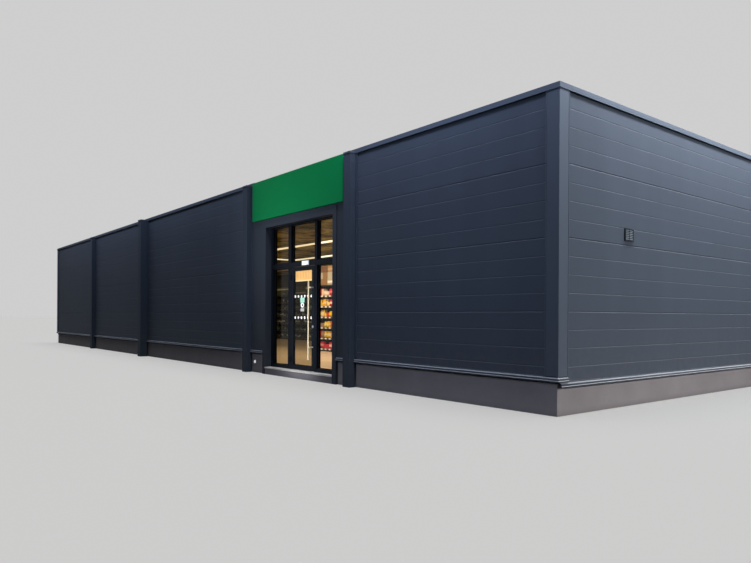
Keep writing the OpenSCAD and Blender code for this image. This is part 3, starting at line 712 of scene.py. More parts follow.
def cast_stone(name, colour):
    """Fine washed concrete: pale, matt, with small dark grains."""
    material, tree, shader, place = start_material(name, Roughness=0.7)
    grains = add(tree, "TexNoise", {"Vector": place, "Scale": 160.0, "Detail": 4.0})
    clouds = add(tree, "TexNoise", {"Vector": place, "Scale": 6.0, "Detail": 4.0})
    both = add(tree, "Math", {0: grains, 1: clouds}, operation="MULTIPLY")
    tone = add(tree, "MapRange", {"Value": both, "From Min": 0.12, "From Max": 0.4})
    base = add(
        tree, "Mix", {FACTOR: tone, FIRST: rgba(colour, 0.85), SECOND: rgba(colour, 1.05)},
        data_type="RGBA",
    )
    bump = add(tree, "Bump", {"Height": grains, "Distance": 0.4 * MM})
    feed(tree, shader, {"Base Color": base, "Normal": bump})
    return material


def wood_wool_boards(name, colour):
    """Wood-wool ceiling boards: olive and gold patches, coarse, 1.2 by 0.6 m each."""
    material, tree, shader, place = start_material(name, Roughness=0.9, Specular_IOR_Level=0.15)
    boards = add(
        tree, "TexBrick",
        {
            "Vector": place, "Color1": rgba(colour, 0.7), "Color2": rgba(colour, 1.4),
            "Mortar": rgba(colour, 0.3), "Scale": 1.0, "Mortar Size": 0.008,
            "Brick Width": 1.2, "Row Height": 0.6,
        },
    )
    # Patches half a metre across, where the boards have darkened
    age = add(tree, "TexNoise", {"Vector": place, "Scale": 1.6, "Detail": 6.0, "Roughness": 0.7})
    dark = add(
        tree, "MapRange",
        {"Value": age, "From Min": 0.42, "From Max": 0.58, "To Min": 0.85, "To Max": 0.0},
    )
    aged = add(
        tree, "Mix", {FACTOR: dark, FIRST: boards.outputs["Color"], SECOND: rgba(linear("1a160d"))},
        data_type="RGBA",
    )
    wool = add(tree, "TexNoise", {"Vector": place, "Scale": 30.0, "Detail": 6.0, "Distortion": 2.0})
    shade = add(
        tree, "Mix", {FACTOR: 0.7, FIRST: aged, SECOND: wool}, data_type="RGBA",
        blend_type="SOFT_LIGHT",
    )
    bump = add(tree, "Bump", {"Height": wool, "Distance": 3.0 * MM})
    feed(tree, shader, {"Base Color": shade, "Normal": bump})
    return material


def powder_coat(name, colour, roughness=0.42):
    """Powder-coated aluminium: dark, satin, with a fine even texture."""
    material, tree, shader, place = start_material(
        name, Roughness=roughness, Specular_IOR_Level=0.05
    )
    cloud = add(tree, "TexNoise", {"Vector": place, "Scale": 3.0, "Detail": 4.0})
    base = add(
        tree, "Mix", {FACTOR: cloud, FIRST: rgba(colour, 0.85), SECOND: rgba(colour, 1.18)},
        data_type="RGBA",
    )
    # The powder's texture has grains of 0.5 mm, drawn at 2 mm
    peel = add(tree, "TexNoise", {"Vector": place, "Scale": 500.0, "Detail": 1.0})
    bump = add(tree, "Bump", {"Height": peel, "Distance": 0.1 * MM, "Strength": 0.4})
    feed(tree, shader, {"Base Color": base, "Normal": bump})
    return material


def composite_panel(name, colour):
    """Aluminium composite sheet with a smooth coloured lacquer."""
    material, tree, shader, place = start_material(
        name, Roughness=0.5, Specular_IOR_Level=0.05
    )
    cloud = add(tree, "TexNoise", {"Vector": place, "Scale": 0.9, "Detail": 2.0})
    base = add(
        tree, "Mix", {FACTOR: cloud, FIRST: rgba(colour, 0.92), SECOND: rgba(colour, 1.08)},
        data_type="RGBA",
    )
    waves = add(tree, "TexNoise", {"Vector": place, "Scale": 1.5})
    bump = add(tree, "Bump", {"Height": waves, "Distance": 0.8 * MM})
    feed(tree, shader, {"Base Color": base, "Normal": bump})
    return material


def float_glass(name, clear, tinted):
    """Float glass: smooth, clear right of the door and tinted darker elsewhere."""
    # An IOR below that of real glass keeps the panes from mirroring the studio
    material, tree, shader, place = start_material(
        name, Roughness=0.0, IOR=1.15, Transmission_Weight=1.0
    )
    door_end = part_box("door_leaf")[1].x
    across = add(tree, "SeparateXYZ", {0: place})
    right = add(tree, "Math", {0: across.outputs["X"], 1: door_end}, operation="GREATER_THAN")
    body = add(
        tree, "Mix", {FACTOR: right, FIRST: rgba(tinted), SECOND: rgba(clear)}, data_type="RGBA"
    )
    waves = add(tree, "TexNoise", {"Vector": place, "Scale": 1.1})
    bump = add(tree, "Bump", {"Height": waves, "Distance": 0.5 * MM, "Strength": 0.3})
    feed(tree, shader, {"Base Color": body, "Normal": bump})
    return material


def brushed_steel(name, colour):
    """Stainless steel brushed round the bar: bright with fine lines."""
    material, tree, shader, place = start_material(
        name, Metallic=1.0, Roughness=0.3, Base_Color=rgba(colour)
    )
    # Brush lines every 0.5 mm, drawn at 3 mm
    lines = add(tree, "Mapping", {"Vector": place, "Scale": (20.0, 20.0, 330.0)})
    brush = add(tree, "TexNoise", {"Vector": lines, "Scale": 1.0, "Detail": 2.0})
    rough = add(tree, "MapRange", {"Value": brush, "To Min": 0.22, "To Max": 0.4})
    bump = add(tree, "Bump", {"Height": brush, "Distance": 0.05 * MM})
    feed(tree, shader, {"Roughness": rough, "Normal": bump})
    return material


def polycarbonate(name, colour, glow=0.0):
    """Moulded polycarbonate: white, slightly glossy, a little lit from inside."""
    material, tree, shader, place = start_material(
        name, Roughness=0.35, Emission_Color=rgba(colour), Emission_Strength=glow
    )
    cloud = add(tree, "TexNoise", {"Vector": place, "Scale": 14.0})
    base = add(
        tree, "Mix", {FACTOR: cloud, FIRST: rgba(colour, 0.94), SECOND: rgba(colour)},
        data_type="RGBA",
    )
    feed(tree, shader, {"Base Color": base})
    return material


def spruce_with_painted_glow(name, colour, glow=0.0):
    """Lacquered spruce: pale orange wood with upright grain, with a painted glow that stands in for
    the light falling on it from in front.
    """
    material, tree, shader, place = start_material(
        name, Roughness=0.45, Emission_Color=rgba(colour), Emission_Strength=glow
    )
    # Grain lines some 17 mm apart and 250 mm long, coarser than real ones
    upright = add(tree, "Mapping", {"Vector": place, "Scale": (60.0, 60.0, 4.0)})
    grain = add(tree, "TexNoise", {"Vector": upright, "Scale": 1.0, "Detail": 4.0})
    base = add(
        tree, "Mix", {FACTOR: grain, FIRST: rgba(colour, 0.7), SECOND: rgba(colour, 1.2)},
        data_type="RGBA",
    )
    bump = add(tree, "Bump", {"Height": grain, "Distance": 0.3 * MM})
    feed(tree, shader, {"Base Color": base, "Normal": bump})
    return material


def lit_tube(name, colour, lit_depth):
    """Opal cover of a tube: warm white with a little dust, lit up to a depth."""
    material, tree, shader, place = start_material(
        name, Base_Color=rgba(colour), Emission_Color=rgba(colour)
    )
    # Dust on the cover dims it in soft patches
    dust = add(tree, "TexNoise", {"Vector": place, "Scale": 3.0, "Detail": 4.0})
    level = add(tree, "MapRange", {"Value": dust, "To Min": 1.1, "To Max": 1.7})
    # The row at the back of the shop is switched off
    depth = add(tree, "SeparateXYZ", {0: place})
    lit = add(tree, "Math", {0: depth.outputs["Y"], 1: lit_depth}, operation="LESS_THAN")
    share = add(tree, "Math", {0: lit, 1: level}, operation="MULTIPLY")
    feed(tree, shader, {"Emission Strength": share})
    return material


def printed_pack(name, colours, roughness):
    """Printed packs: each group of packs has one of the colours, and most of them
    have a paler label round their middle."""
    material, tree, shader, place = start_material(name, Roughness=roughness)
    tone = add(tree, "Attribute", attribute_name="tone").outputs["Fac"]
    rise = add(tree, "Attribute", attribute_name="rise").outputs["Fac"]
    body = add(tree, "ValToRGB", {"Fac": tone})
    ramp = body.color_ramp
    ramp.interpolation = "CONSTANT"
    for number, colour in enumerate(colours):
        at = number / len(colours)
        stop = ramp.elements[0] if number == 0 else ramp.elements.new(at)
        stop.position = at
        stop.color = rgba(linear(colour))
    ramp.elements.remove(ramp.elements[-1])
    # The label is a band from a third to two thirds of a pack's height
    above = add(tree, "Math", {0: rise, 1: 0.32}, operation="GREATER_THAN")
    below = add(tree, "Math", {0: rise, 1: 0.66}, operation="LESS_THAN")
    band = add(tree, "Math", {0: above, 1: below}, operation="MULTIPLY")
    turned = add(tree, "Math", {0: tone, 1: 37.0}, operation="MULTIPLY")
    chance = add(tree, "Math", {0: turned}, operation="FRACT")
    pale = add(tree, "MapRange", {"Value": chance, "To Min": -0.5, "To Max": 0.8})
    label = add(tree, "Math", {0: band, 1: pale}, operation="MULTIPLY")
    printed = add(
        tree, "Mix", {FACTOR: label, FIRST: body, SECOND: rgba(linear("f4ead6"))}, data_type="RGBA"
    )
    # Print is a little uneven over some 30 mm
    cloud = add(tree, "TexNoise", {"Vector": place, "Scale": 33.0, "Detail": 3.0})
    worn = add(
        tree, "Mix", {FACTOR: 0.25, FIRST: printed, SECOND: cloud}, data_type="RGBA",
        blend_type="SOFT_LIGHT",
    )
    bump = add(tree, "Bump", {"Height": cloud, "Distance": 0.5 * MM})
    feed(tree, shader, {"Base Color": worn, "Normal": bump})
    return material


def vinyl_film(name, colour):
    """Cut vinyl film: flat, satin, a little thinner in tone where air is trapped."""
    material, tree, shader, place = start_material(name, Roughness=0.5)
    bubbles = add(tree, "TexNoise", {"Vector": place, "Scale": 60.0, "Detail": 2.0})
    base = add(
        tree, "Mix", {FACTOR: bubbles, FIRST: rgba(colour, 0.88), SECOND: rgba(colour, 1.05)},
        data_type="RGBA",
    )
    feed(tree, shader, {"Base Color": base})
    return material


def rubber(name, colour):
    """Extruded EPDM rubber: black, matt, with a dusty bloom."""
    material, tree, shader, place = start_material(name, Roughness=0.8, Specular_IOR_Level=0.2)
    bloom = add(tree, "TexNoise", {"Vector": place, "Scale": 25.0, "Detail": 4.0})
    base = add(
        tree, "Mix", {FACTOR: bloom, FIRST: rgba(colour, 0.8), SECOND: rgba(colour, 1.6)},
        data_type="RGBA",
    )
    feed(tree, shader, {"Base Color": base})
    return material


# Operators


class SHOP_OT_finishes(bpy.types.Operator):
    """Gives every solid of the building its material"""

    bl_idname = "shop.finishes"
    bl_label = "Finishes"

    def execute(self, context):
        look = context.scene.shop_finishes
        panels = coated_steel("coated_steel_panel", look.panel, lining=look.lining)
        flashing = coated_steel("folded_flashing_steel", look.flashing, wave=0.6)
        cover = coated_steel("folded_cover_steel", look.pilaster, wave=0.6)
        portal = coated_steel("portal_steel", look.portal, wave=0.4)
        render = cement_render("painted_cement_render", look.plinth)
        profile = powder_coat("powder_coated_aluminium", look.storefront)
        glass = float_glass("float_glass", look.glass, look.tint)
        cream = powder_coat("cream_powder_coat", look.bar, 0.35)
        steel = brushed_steel("brushed_stainless_steel", look.steel)
        shelf = powder_coat("powder_coated_shelf_steel", look.rack, 0.5)
        groups = {
            panels: [
                "front_wall_right", "front_wall_over_door", "front_wall_left",
                "right_wall", "back_wall", "left_wall",
            ],
            # The drip flashings: darker as painted shade, with a stronger painted highlight on
            # their upper lips
            coated_steel("folded_drip_steel", look.drip, wave=0.6, lip_highlight=0.35): [
                "front_drip_flashing", "right_drip_flashing", "back_drip_flashing",
                "left_drip_flashing",
            ],
            flashing: [
                "corner_flashings", "front_coping", "right_coping", "back_coping", "left_coping",
            ],
            cover: ["pilaster_1", "pilaster_2", "pilaster_3", "pilaster_4", "back_pilasters"],
            portal: ["portal_frame", "portal_side_sheets"],
            render: ["door_step", "front_plinth", "right_plinth", "back_plinth", "left_plinth"],
            profile: ["storefront_frame", "door_leaf", "door_hinges"],
            glass: ["storefront_glass", "door_glass"],
            steel: ["door_lock"],
            cream: ["pull_handle"],
            shelf: ["shelf_racks"],
            ceramic_tiles("ceramic_floor_tiles", look.tiles, look.grout): ["floor_slab"],
            cast_stone("cast_stone_sill", look.sill): ["door_sill"],
            wood_wool_boards("wood_wool_boards", look.ceiling): ["ceiling"],
            composite_panel("green_composite_panel", look.sign): ["sign_box"],
            coated_steel("coated_roof_steel", look.roof, dust=0.0, lip_highlight=0.0): ["roof_deck"],
            lit_tube("opal_light_cover", look.glow, look.lit_depth): ["ceiling_lights"],
        }
        for material, names in groups.items():
            for name in names:
                dress(name, material)
        return {"FINISHED"}


class SHOP_OT_goods(bpy.types.Operator):
    """Stocks the shelves with packs in place of the plain blocks of goods"""

    bl_idname = "shop.goods"
    bl_label = "Goods"

    def execute(self, context):
        goods = context.scene.shop_goods
        chance = random.Random(goods.seed)
        shelves = solids("shelf_goods")
        # The back run stands more than a metre behind the middle rack
        behind = shelves[0][0].y + 1.0
        middle = [shelf for shelf in shelves if shelf[0].y < behind]
        back = [shelf for shelf in shelves if shelf[0].y > behind]
        self.stock_rack("middle_rack_goods", middle, BRIGHT_PRINTS, BRIGHT_CASES, 2, goods, chance)
        self.stock_rack("back_run_goods", back, DIM_PRINTS, DIM_CASES, 1, goods, chance)
        return {"FINISHED"}

    def stock_rack(self, name, shelves, prints, case_prints, rows, goods, chance):
        """Stocks a rack: packs on its shelves, and layers of cases on its top."""
        packs = self.make_packs(name, prints)
        case = self.make_case(name, case_prints)
        groups = []
        for low, high in shelves[:-1]:
            groups += self.stock(packs, low, high, rows, goods.uneven, goods, chance)
        low, high = shelves[-1]
        layer = Vector((0, 0, case.dimensions.z))
        for level in (low, low + layer):
            groups += self.stock([case], level, high, 1, 0, goods, chance)
        if name == "middle_rack_goods":
            cases = self.stock([case], low + 2 * layer, high + layer, 1, 0, goods, chance)
            seat(join("top_cases", cases), "building", "goods")
        for pack in packs + [case]:
            bpy.data.objects.remove(pack)
        seat(join(name, groups), "building", "goods", "shelf_goods")

    def make_packs(self, name, prints):
        """The kinds of packs, each at the origin with its front at y = 0."""
        board = printed_pack(name + "_carton_board", prints, 0.6)
        film = printed_pack(name + "_plastic_film", prints, 0.3)
        cartons = [self.carton(*size) for size in CARTONS]
        soft = [self.pouch(*size) for size in POUCHES]
        bottle = self.lathe("bottle", *BOTTLE, BOTTLE_OUTLINE)
        jar = self.lathe("jar", *JAR, JAR_OUTLINE)
        packs = cartons + soft + [bottle, jar]
        for pack in packs:
            paint(pack, board if pack in cartons else film)
            self.mark_rise(pack)
        return packs

    def carton(self, w, d, h):
        """Folding carton with rounded edges and a lid tucked in by 2 mm."""
        pack = add_box("carton", (0, 0, 0), (w, d, h))
        sink(pack, (0, 0, 1), 0.08 * w, 2 * MM)
        soften(pack, 3 * MM, 1)
        return pack

    def pouch(self, w, d, h):
        """Filled bag: pressed flat at its top seam, crowned at its middle."""
        pack = add_box("pouch", (0, 0, 0), (w, d, h))
        edit(pack, "FACE", lambda face: True)
        bpy.ops.mesh.subdivide(number_cuts=1)
        done()
        edit(pack, "VERT", lambda vert: vert.co.z > 0.9 * h)
        resize((1, 0.12, 1), (w / 2, d / 2, h))
        done()
        edit(pack, "VERT", lambda vert: vert.co.z < 0.1 * h)
        resize((0.9, 0.8, 1), (w / 2, d / 2, 0))
        done()
        modify(pack, "SUBSURF", levels=1, render_levels=1)
        select_only([pack])
        bpy.ops.object.shade_smooth()
        return pack

    def lathe(self, name, r, h, shares, sides=12):
        """A round pack from its outline, given as shares of its radius and height."""
        outline = [(wide * r, high * h) for wide, high in shares]
        widest = max(radius for radius, height in outline)
        centre = Vector((widest, widest, 0))
        radius, height = outline[0]
        pack = add_disc(name, centre, radius, sides, upright=False)
        edit(pack, "FACE", lambda face: True)
        for next_radius, next_height in outline[1:]:
            extrude(0, 0, next_height - height)
            centre.z = next_height
            resize((next_radius / radius, next_radius / radius, 1), centre)
            radius, height = next_radius, next_height
        done()
        close_up(pack)
        smooth(pack)
        return pack

    def make_case(self, name, prints):
        """Shipping case whose top flaps lie 2 mm deep between narrow edges."""
        case = add_box("case", (0, 0, 0), CASE)
        edit(case, "FACE", facing(0, 0, 1))
        bpy.ops.mesh.subdivide(number_cuts=1)
        bpy.ops.mesh.inset(thickness=4 * MM, use_individual=True)
        extrude(0, 0, -2 * MM)
        done()
        soften(case, 4 * MM, 1)
        paint(case, printed_pack(name + "_case_board", prints, 0.8))
        self.mark_rise(case)
        return case

    def mark_rise(self, pack):
        """Stores how high each point lies in its pack, from 0 to 1."""
        top = max(v.co.z for v in pack.data.vertices)
        rise = pack.data.attributes.new("rise", "FLOAT", "POINT")
        for vert, value in zip(pack.data.vertices, rise.data):
            value.value = vert.co.z / top

    def stock(self, packs, low, high, rows, uneven, goods, chance):
        """Groups of like packs side by side on one shelf, as meshes to be joined."""
        groups = []
        at = low.x
        while True:
            pack = chance.choice(packs)
            fit = min(1.0, (high.z - low.z) / pack.dimensions.z) * chance.uniform(1.0 - uneven, 1.0)
            width = pack.dimensions.x + goods.gap
            count = min(chance.randint(1, 2), int((high.x - at) / width))
            if count < 1:
                return groups
            place = (at, low.y + chance.uniform(0.0, goods.stagger), low.z)
            group = copy_of(pack, place, (1, 1, fit))
            tone = group.data.attributes.new("tone", "FLOAT", "POINT")
            value = chance.random()
            for point in tone.data:
                point.value = value
            repeat(group, count, (width, 0, 0))
            repeat(group, rows, (0, pack.dimensions.y + goods.gap, 0))
            groups.append(group)
            at += count * width


class SHOP_OT_price_rails(bpy.types.Operator):
    """Adds a price rail with paper tickets to every shelf edge"""

    bl_idname = "shop.price_rails"
    bl_label = "Price rails"

    def execute(self, context):
        goods = context.scene.shop_goods
        look = context.scene.shop_finishes
        grey = polycarbonate("grey_rail_pvc", look.rail)
        white = vinyl_film("white_ticket_paper", look.ticket)
        # Darker rail and ticket at the back: painted shade of the dim back of the shop
        dark = polycarbonate("dark_rail_pvc", look.dark_rail)
        dim = vinyl_film("dim_ticket_paper", look.dim_ticket)
        middle, back = sorted(solids("shelf_racks"), key=lambda box: box[0].y)
        self.add_rails("middle_rack_price_rails", middle, goods, grey, white)
        self.add_rails("back_run_price_rails", back, goods, dark, dim)
        return {"FINISHED"}

    def add_rails(self, name, rack, goods, plastic, paper):
        """Rails and tickets on the shelves of one rack, apart from its top one."""
        low, high = rack
        end = high.x - goods.rail_end
        shelves = [box for box in solids("shelf_goods") if low.y < box[0].y < high.y]
        rails = []
        for shelf in shelves[:-1]:
            edge = Vector((low.x + goods.rail_end, low.y, shelf[0].z - goods.rail_h))
            rails.append(self.rail(edge, end, goods, plastic))
            rails.append(self.tickets(edge, end, goods, paper))
        seat(join(name, rails), "building", "rack")

    def rail(self, edge, end, goods, material):
        """Rail with a channel along its face."""
        back = (end, edge.y, edge.z + goods.rail_h)
        rail = add_box("rail", edge - Vector((0, goods.rail_out, 0)), back)
        sink(rail, (0, -1, 0), goods.rail_lip, goods.channel)
        soften(rail, MM, 1)
        return paint(rail, material)

    def tickets(self, edge, end, goods, material):
        """Paper tickets in the channel of a rail, at an even pitch."""
        face = edge.y - goods.rail_out
        start = edge.x + goods.ticket_start
        top = edge.z + goods.rail_h - goods.rail_lip
        ticket = add_box(
            "ticket", (start, face + goods.ticket_set, edge.z + goods.rail_lip),
            (start + goods.ticket_w, face + goods.channel, top),
        )
        soften(ticket, 0.5 * MM, 1)
        repeat(ticket, int((end - start) / goods.ticket_pitch), (goods.ticket_pitch, 0, 0))
        return paint(ticket, material)


class SHOP_OT_glass_marks(bpy.types.Operator):
    """Adds the rows of dots, the ring and two bare labels to the door's glass"""

    bl_idname = "shop.glass_marks"
    bl_label = "Glass marks"

    def execute(self, context):
        marks = context.scene.shop_glazing
        look = context.scene.shop_finishes
        white = vinyl_film("white_vinyl_film", look.film)
        green = vinyl_film("pale_green_vinyl_film", look.green_film)
        grey = vinyl_film("grey_vinyl_film", look.grey_film)
        low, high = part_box("door_glass")
        middle = (low.x + high.x) / 2
        centre = middle - marks.mark_left
        dot = paint(self.dot(marks, low.y), white)
        start = middle - (marks.dots - 1) * marks.dot_pitch / 2
        pieces = []
        for height in (marks.upper_row, marks.lower_row):
            for number in range(marks.dots):
                pieces.append(copy_of(dot, (start + number * marks.dot_pitch, 0, height)))
        bpy.data.objects.remove(dot)
        pieces.append(paint(self.ring(marks, low.y, centre), white))
        for film, width, foot, top in (
            (green, marks.upper_label_w, marks.upper_label_low, marks.upper_label_top),
            (grey, marks.lower_label_w, marks.lower_label_low, marks.lower_label_top),
        ):
            pieces.append(paint(self.label(marks, low.y, centre, width, foot, top), film))
        seat(join("door_glass_marks", pieces), "door", "glass")
        return {"FINISHED"}

    def dot(self, marks, face):
        """One round dot of film at the origin."""
        dot = add_disc("dot", (0, face - marks.film_t, 0), marks.dot_r, 24)
        make_solid(dot, marks.film_t)
        return dot

    def ring(self, marks, face, x):
        """A round band of film with a clear middle."""
        ring = add_disc("ring", (x, face - marks.film_t, marks.ring_z), marks.ring_r, 32)
        hollow(ring, marks.ring_w)
        edit(ring, "VERT", lambda vert: True)
        resize((1, 1, marks.ring_flat), (x, face, marks.ring_z))
        done()
        make_solid(ring, marks.film_t)
        return ring

    def label(self, marks, face, x, width, foot, top):
        """A bare label with round corners."""
        y = face - marks.film_t
        label = add_plate("label", (x - width / 2, y, foot), (x + width / 2, y, top))
        edit(label, "VERT", lambda vert: True)
        bpy.ops.mesh.bevel(offset=marks.label_round, segments=4, affect="VERTICES")
        done()
        make_solid(label, marks.film_t)
        return label


class SHOP_OT_gaskets(bpy.types.Operator):
    """Adds the rubber gaskets round every pane"""

    bl_idname = "shop.gaskets"
    bl_label = "Gaskets"

    def execute(self, context):
        marks = context.scene.shop_glazing
        black = rubber("epdm_rubber", context.scene.shop_finishes.rubber)
        for name, body, node in (
            ("storefront_gaskets", "building", "storefront_glass"),
            ("door_gasket", "door", "door_glass"),
        ):
            gaskets = [paint(self.gasket(marks, low, high), black) for low, high in solids(node)]
            seat(join(name, gaskets), body, "storefront")
        return {"FINISHED"}

    def gasket(self, marks, low, high):
        """Flat band of rubber round a pane, inside its glazing bead."""
        inset = Vector((marks.bead_w, 0, marks.bead_w))
        y = low.y - marks.gasket_t
        band = add_plate(
            "gasket", Vector((low.x, y, low.z)) + inset, Vector((high.x, y, high.z)) - inset
        )
        hollow(band, marks.gasket_w)
        make_solid(band, marks.gasket_t)
        return band


class SHOP_OT_header(bpy.types.Operator):
    """Adds the slatted header behind the door, with its lit lower edge"""

    bl_idname = "shop.header"
    bl_label = "Header"

    def execute(self, context):
        header = context.scene.shop_header
        look = context.scene.shop_finishes
        # The slats get a painted glow in place of the light that falls on them from in front
        wood = spruce_with_painted_glow("lacquered_spruce", look.slats, glow=header.glow)
        steel = bpy.data.materials["brushed_stainless_steel"]
        low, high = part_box("header_box")
        back = low.y + header.slat_t + header.board_t
        board = add_box("board", low + Vector((0, header.slat_t, 0)), (high.x, back, high.z))
        sink(board, (0, 1, 0), header.board_rim, header.board_recess)
        soften(board, 3 * MM, 1)
        # Two flat arms hold the board from behind
        top = high.z - header.arm_drop
        arms = []
        for share in (header.arm_in, 1 - header.arm_in):
            x = low.x + share * (high.x - low.x)
            arm = add_box(
                "arm", (x - header.arm_w / 2, back - header.arm_lap, top - header.arm_t),
                (x + header.arm_w / 2, high.y, top),
            )
            soften(arm, 2 * MM, 1)
            arms.append(paint(arm, steel))
        slat = add_box("slat", low, (low.x + header.slat_w, low.y + header.slat_t, high.z))
        soften(slat, 4 * MM)
        pitch = (high.x - low.x - header.slat_w) / (header.slats - 1)
        repeat(slat, header.slats, (pitch, 0, 0))
        strip = add_box(
            "strip", (low.x + header.strip_end, low.y - header.strip_out, low.z),
            (high.x - header.strip_end, low.y + header.strip_lap, low.z + header.strip_h),
        )
        soften(strip, 5 * MM)
        paint(board, wood)
        paint(slat, wood)
        paint(strip, lit_tube("warm_light_strip", look.glow, look.lit_depth))
        body = join("slatted_header", [board, slat, strip] + arms)
        seat(body, "building", "header", "header_box")
        return {"FINISHED"}


class SHOP_OT_lamps(bpy.types.Operator):
    """Adds the lamp over the door and the round lamp on the plinth"""

    bl_idname = "shop.lamps"
    bl_label = "Lamps"

    def execute(self, context):
        lamp = context.scene.shop_lamps
        look = context.scene.shop_finishes
        white = polycarbonate("white_polycarbonate", look.lamp)
        opal = polycarbonate("opal_polycarbonate", look.lamp, glow=lamp.glow)
        body = self.box_lamp(lamp, *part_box("over_door_lamp"), white, opal)
        seat(body, "building", "lamp_housing", "over_door_lamp")
        body = self.round_lamp(lamp, *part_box("plinth_lamp"), white, opal)
        seat(body, "building", "lamp_housing", "plinth_lamp")
        return {"FINISHED"}

    def box_lamp(self, lamp, low, high, white, opal):
        """Oblong lamp: a housing with a raised rim round a bordered cover."""
        housing = add_box("housing", low, high)
        sink(housing, (0, -1, 0), lamp.rim, lamp.recess)
        soften(housing, 3 * MM)
        inset = lamp.cover_in
        cover = add_box(
            "cover", low + Vector((inset, lamp.cover_set, inset)),
            (high.x - inset, low.y + lamp.cover_back, high.z - inset),
        )
        edit(cover, "FACE", facing(0, -1, 0))
        bpy.ops.mesh.inset(thickness=lamp.cover_rim)
        done()
        soften(cover, 4 * MM)
        return join("over_door_lamp_body", [paint(housing, white), paint(cover, opal)])

    def round_lamp(self, lamp, low, high, white, opal):
        """Round bulkhead lamp: a base with a stepped rim and a domed cover."""
        centre = (low + high) / 2
        radius = (high.x - low.x) / 2
        deep = high.y - low.y
        base = add_disc("base", (centre.x, high.y, centre.z), radius, 48)
        edit(base, "FACE", lambda face: True)
        extrude(0, -lamp.base_deep * deep, 0)
        bpy.ops.mesh.inset(thickness=lamp.step_w * radius)
        extrude(0, lamp.step_deep * deep, 0)
        done()
        close_up(base)
        soften(base, MM)
        rise, width = lamp.dome_from, lamp.dome_w
        dome = add_disc("dome", (centre.x, high.y - rise * deep, centre.z), width * radius, 48)
        edit(dome, "FACE", lambda face: True)
        for turn in range(1, lamp.dome_rings + 1):
            angle = turn * lamp.dome_turn
            next_rise = lamp.dome_from + lamp.dome_rise * math.sin(angle)
            next_width = lamp.dome_w * math.cos(angle)
            extrude(0, (rise - next_rise) * deep, 0)
            at = (centre.x, high.y - next_rise * deep, centre.z)
            resize((next_width / width, 1, next_width / width), at)
            rise, width = next_rise, next_width
        done()
        close_up(dome)
        smooth(dome, 60)
        return join("plinth_lamp_body", [paint(base, white), paint(dome, opal)])


class SHOP_OT_vent(bpy.types.Operator):
    """Adds the vent on the right wall: a dark frame with wall-toned blades"""

    bl_idname = "shop.vent"
    bl_label = "Vent"

    def execute(self, context):
        vent = context.scene.shop_vent
        look = context.scene.shop_finishes
        low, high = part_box("wall_vent")
        rim = add_box("rim", low, high)
        sink(rim, (1, 0, 0), vent.rim, high.x - low.x - vent.plate)
        soften(rim, 2 * MM)
        # A blade starts half way into the back plate and hangs down at its front
        corner = low + Vector((vent.plate / 2, vent.rim, vent.rim))
        pitch = (high.z - low.z - 2 * vent.rim) / vent.blades
        foot = corner.z + pitch / 2
        front = high.x - vent.blade_set
        blade = add_box(
            "blade", (corner.x, corner.y, foot), (front, high.y - vent.rim, foot + vent.blade_t)
        )
        edit(blade, "VERT", lambda vert: vert.co.x > (corner.x + front) / 2)
        bpy.ops.transform.translate(value=(0, 0, -vent.droop * pitch))
        done()
        soften(blade, MM)
        repeat(blade, vent.blades, (0, 0, pitch))
        middle = (low.y + high.y) / 2
        post = add_box(
            "post", (corner.x, middle - vent.post_w / 2, corner.z),
            (high.x - vent.post_set, middle + vent.post_w / 2, high.z - vent.rim),
        )
        soften(post, MM)
        dark = powder_coat("dark_vent_coat", look.vent)
        wall = powder_coat("wall_toned_vent_coat", look.vent_blades)
        paint(rim, dark)
        paint(blade, wall)
        paint(post, dark)
        seat(join("wall_vent_grille", [rim, blade, post]), "building", "vent", "wall_vent")
        return {"FINISHED"}


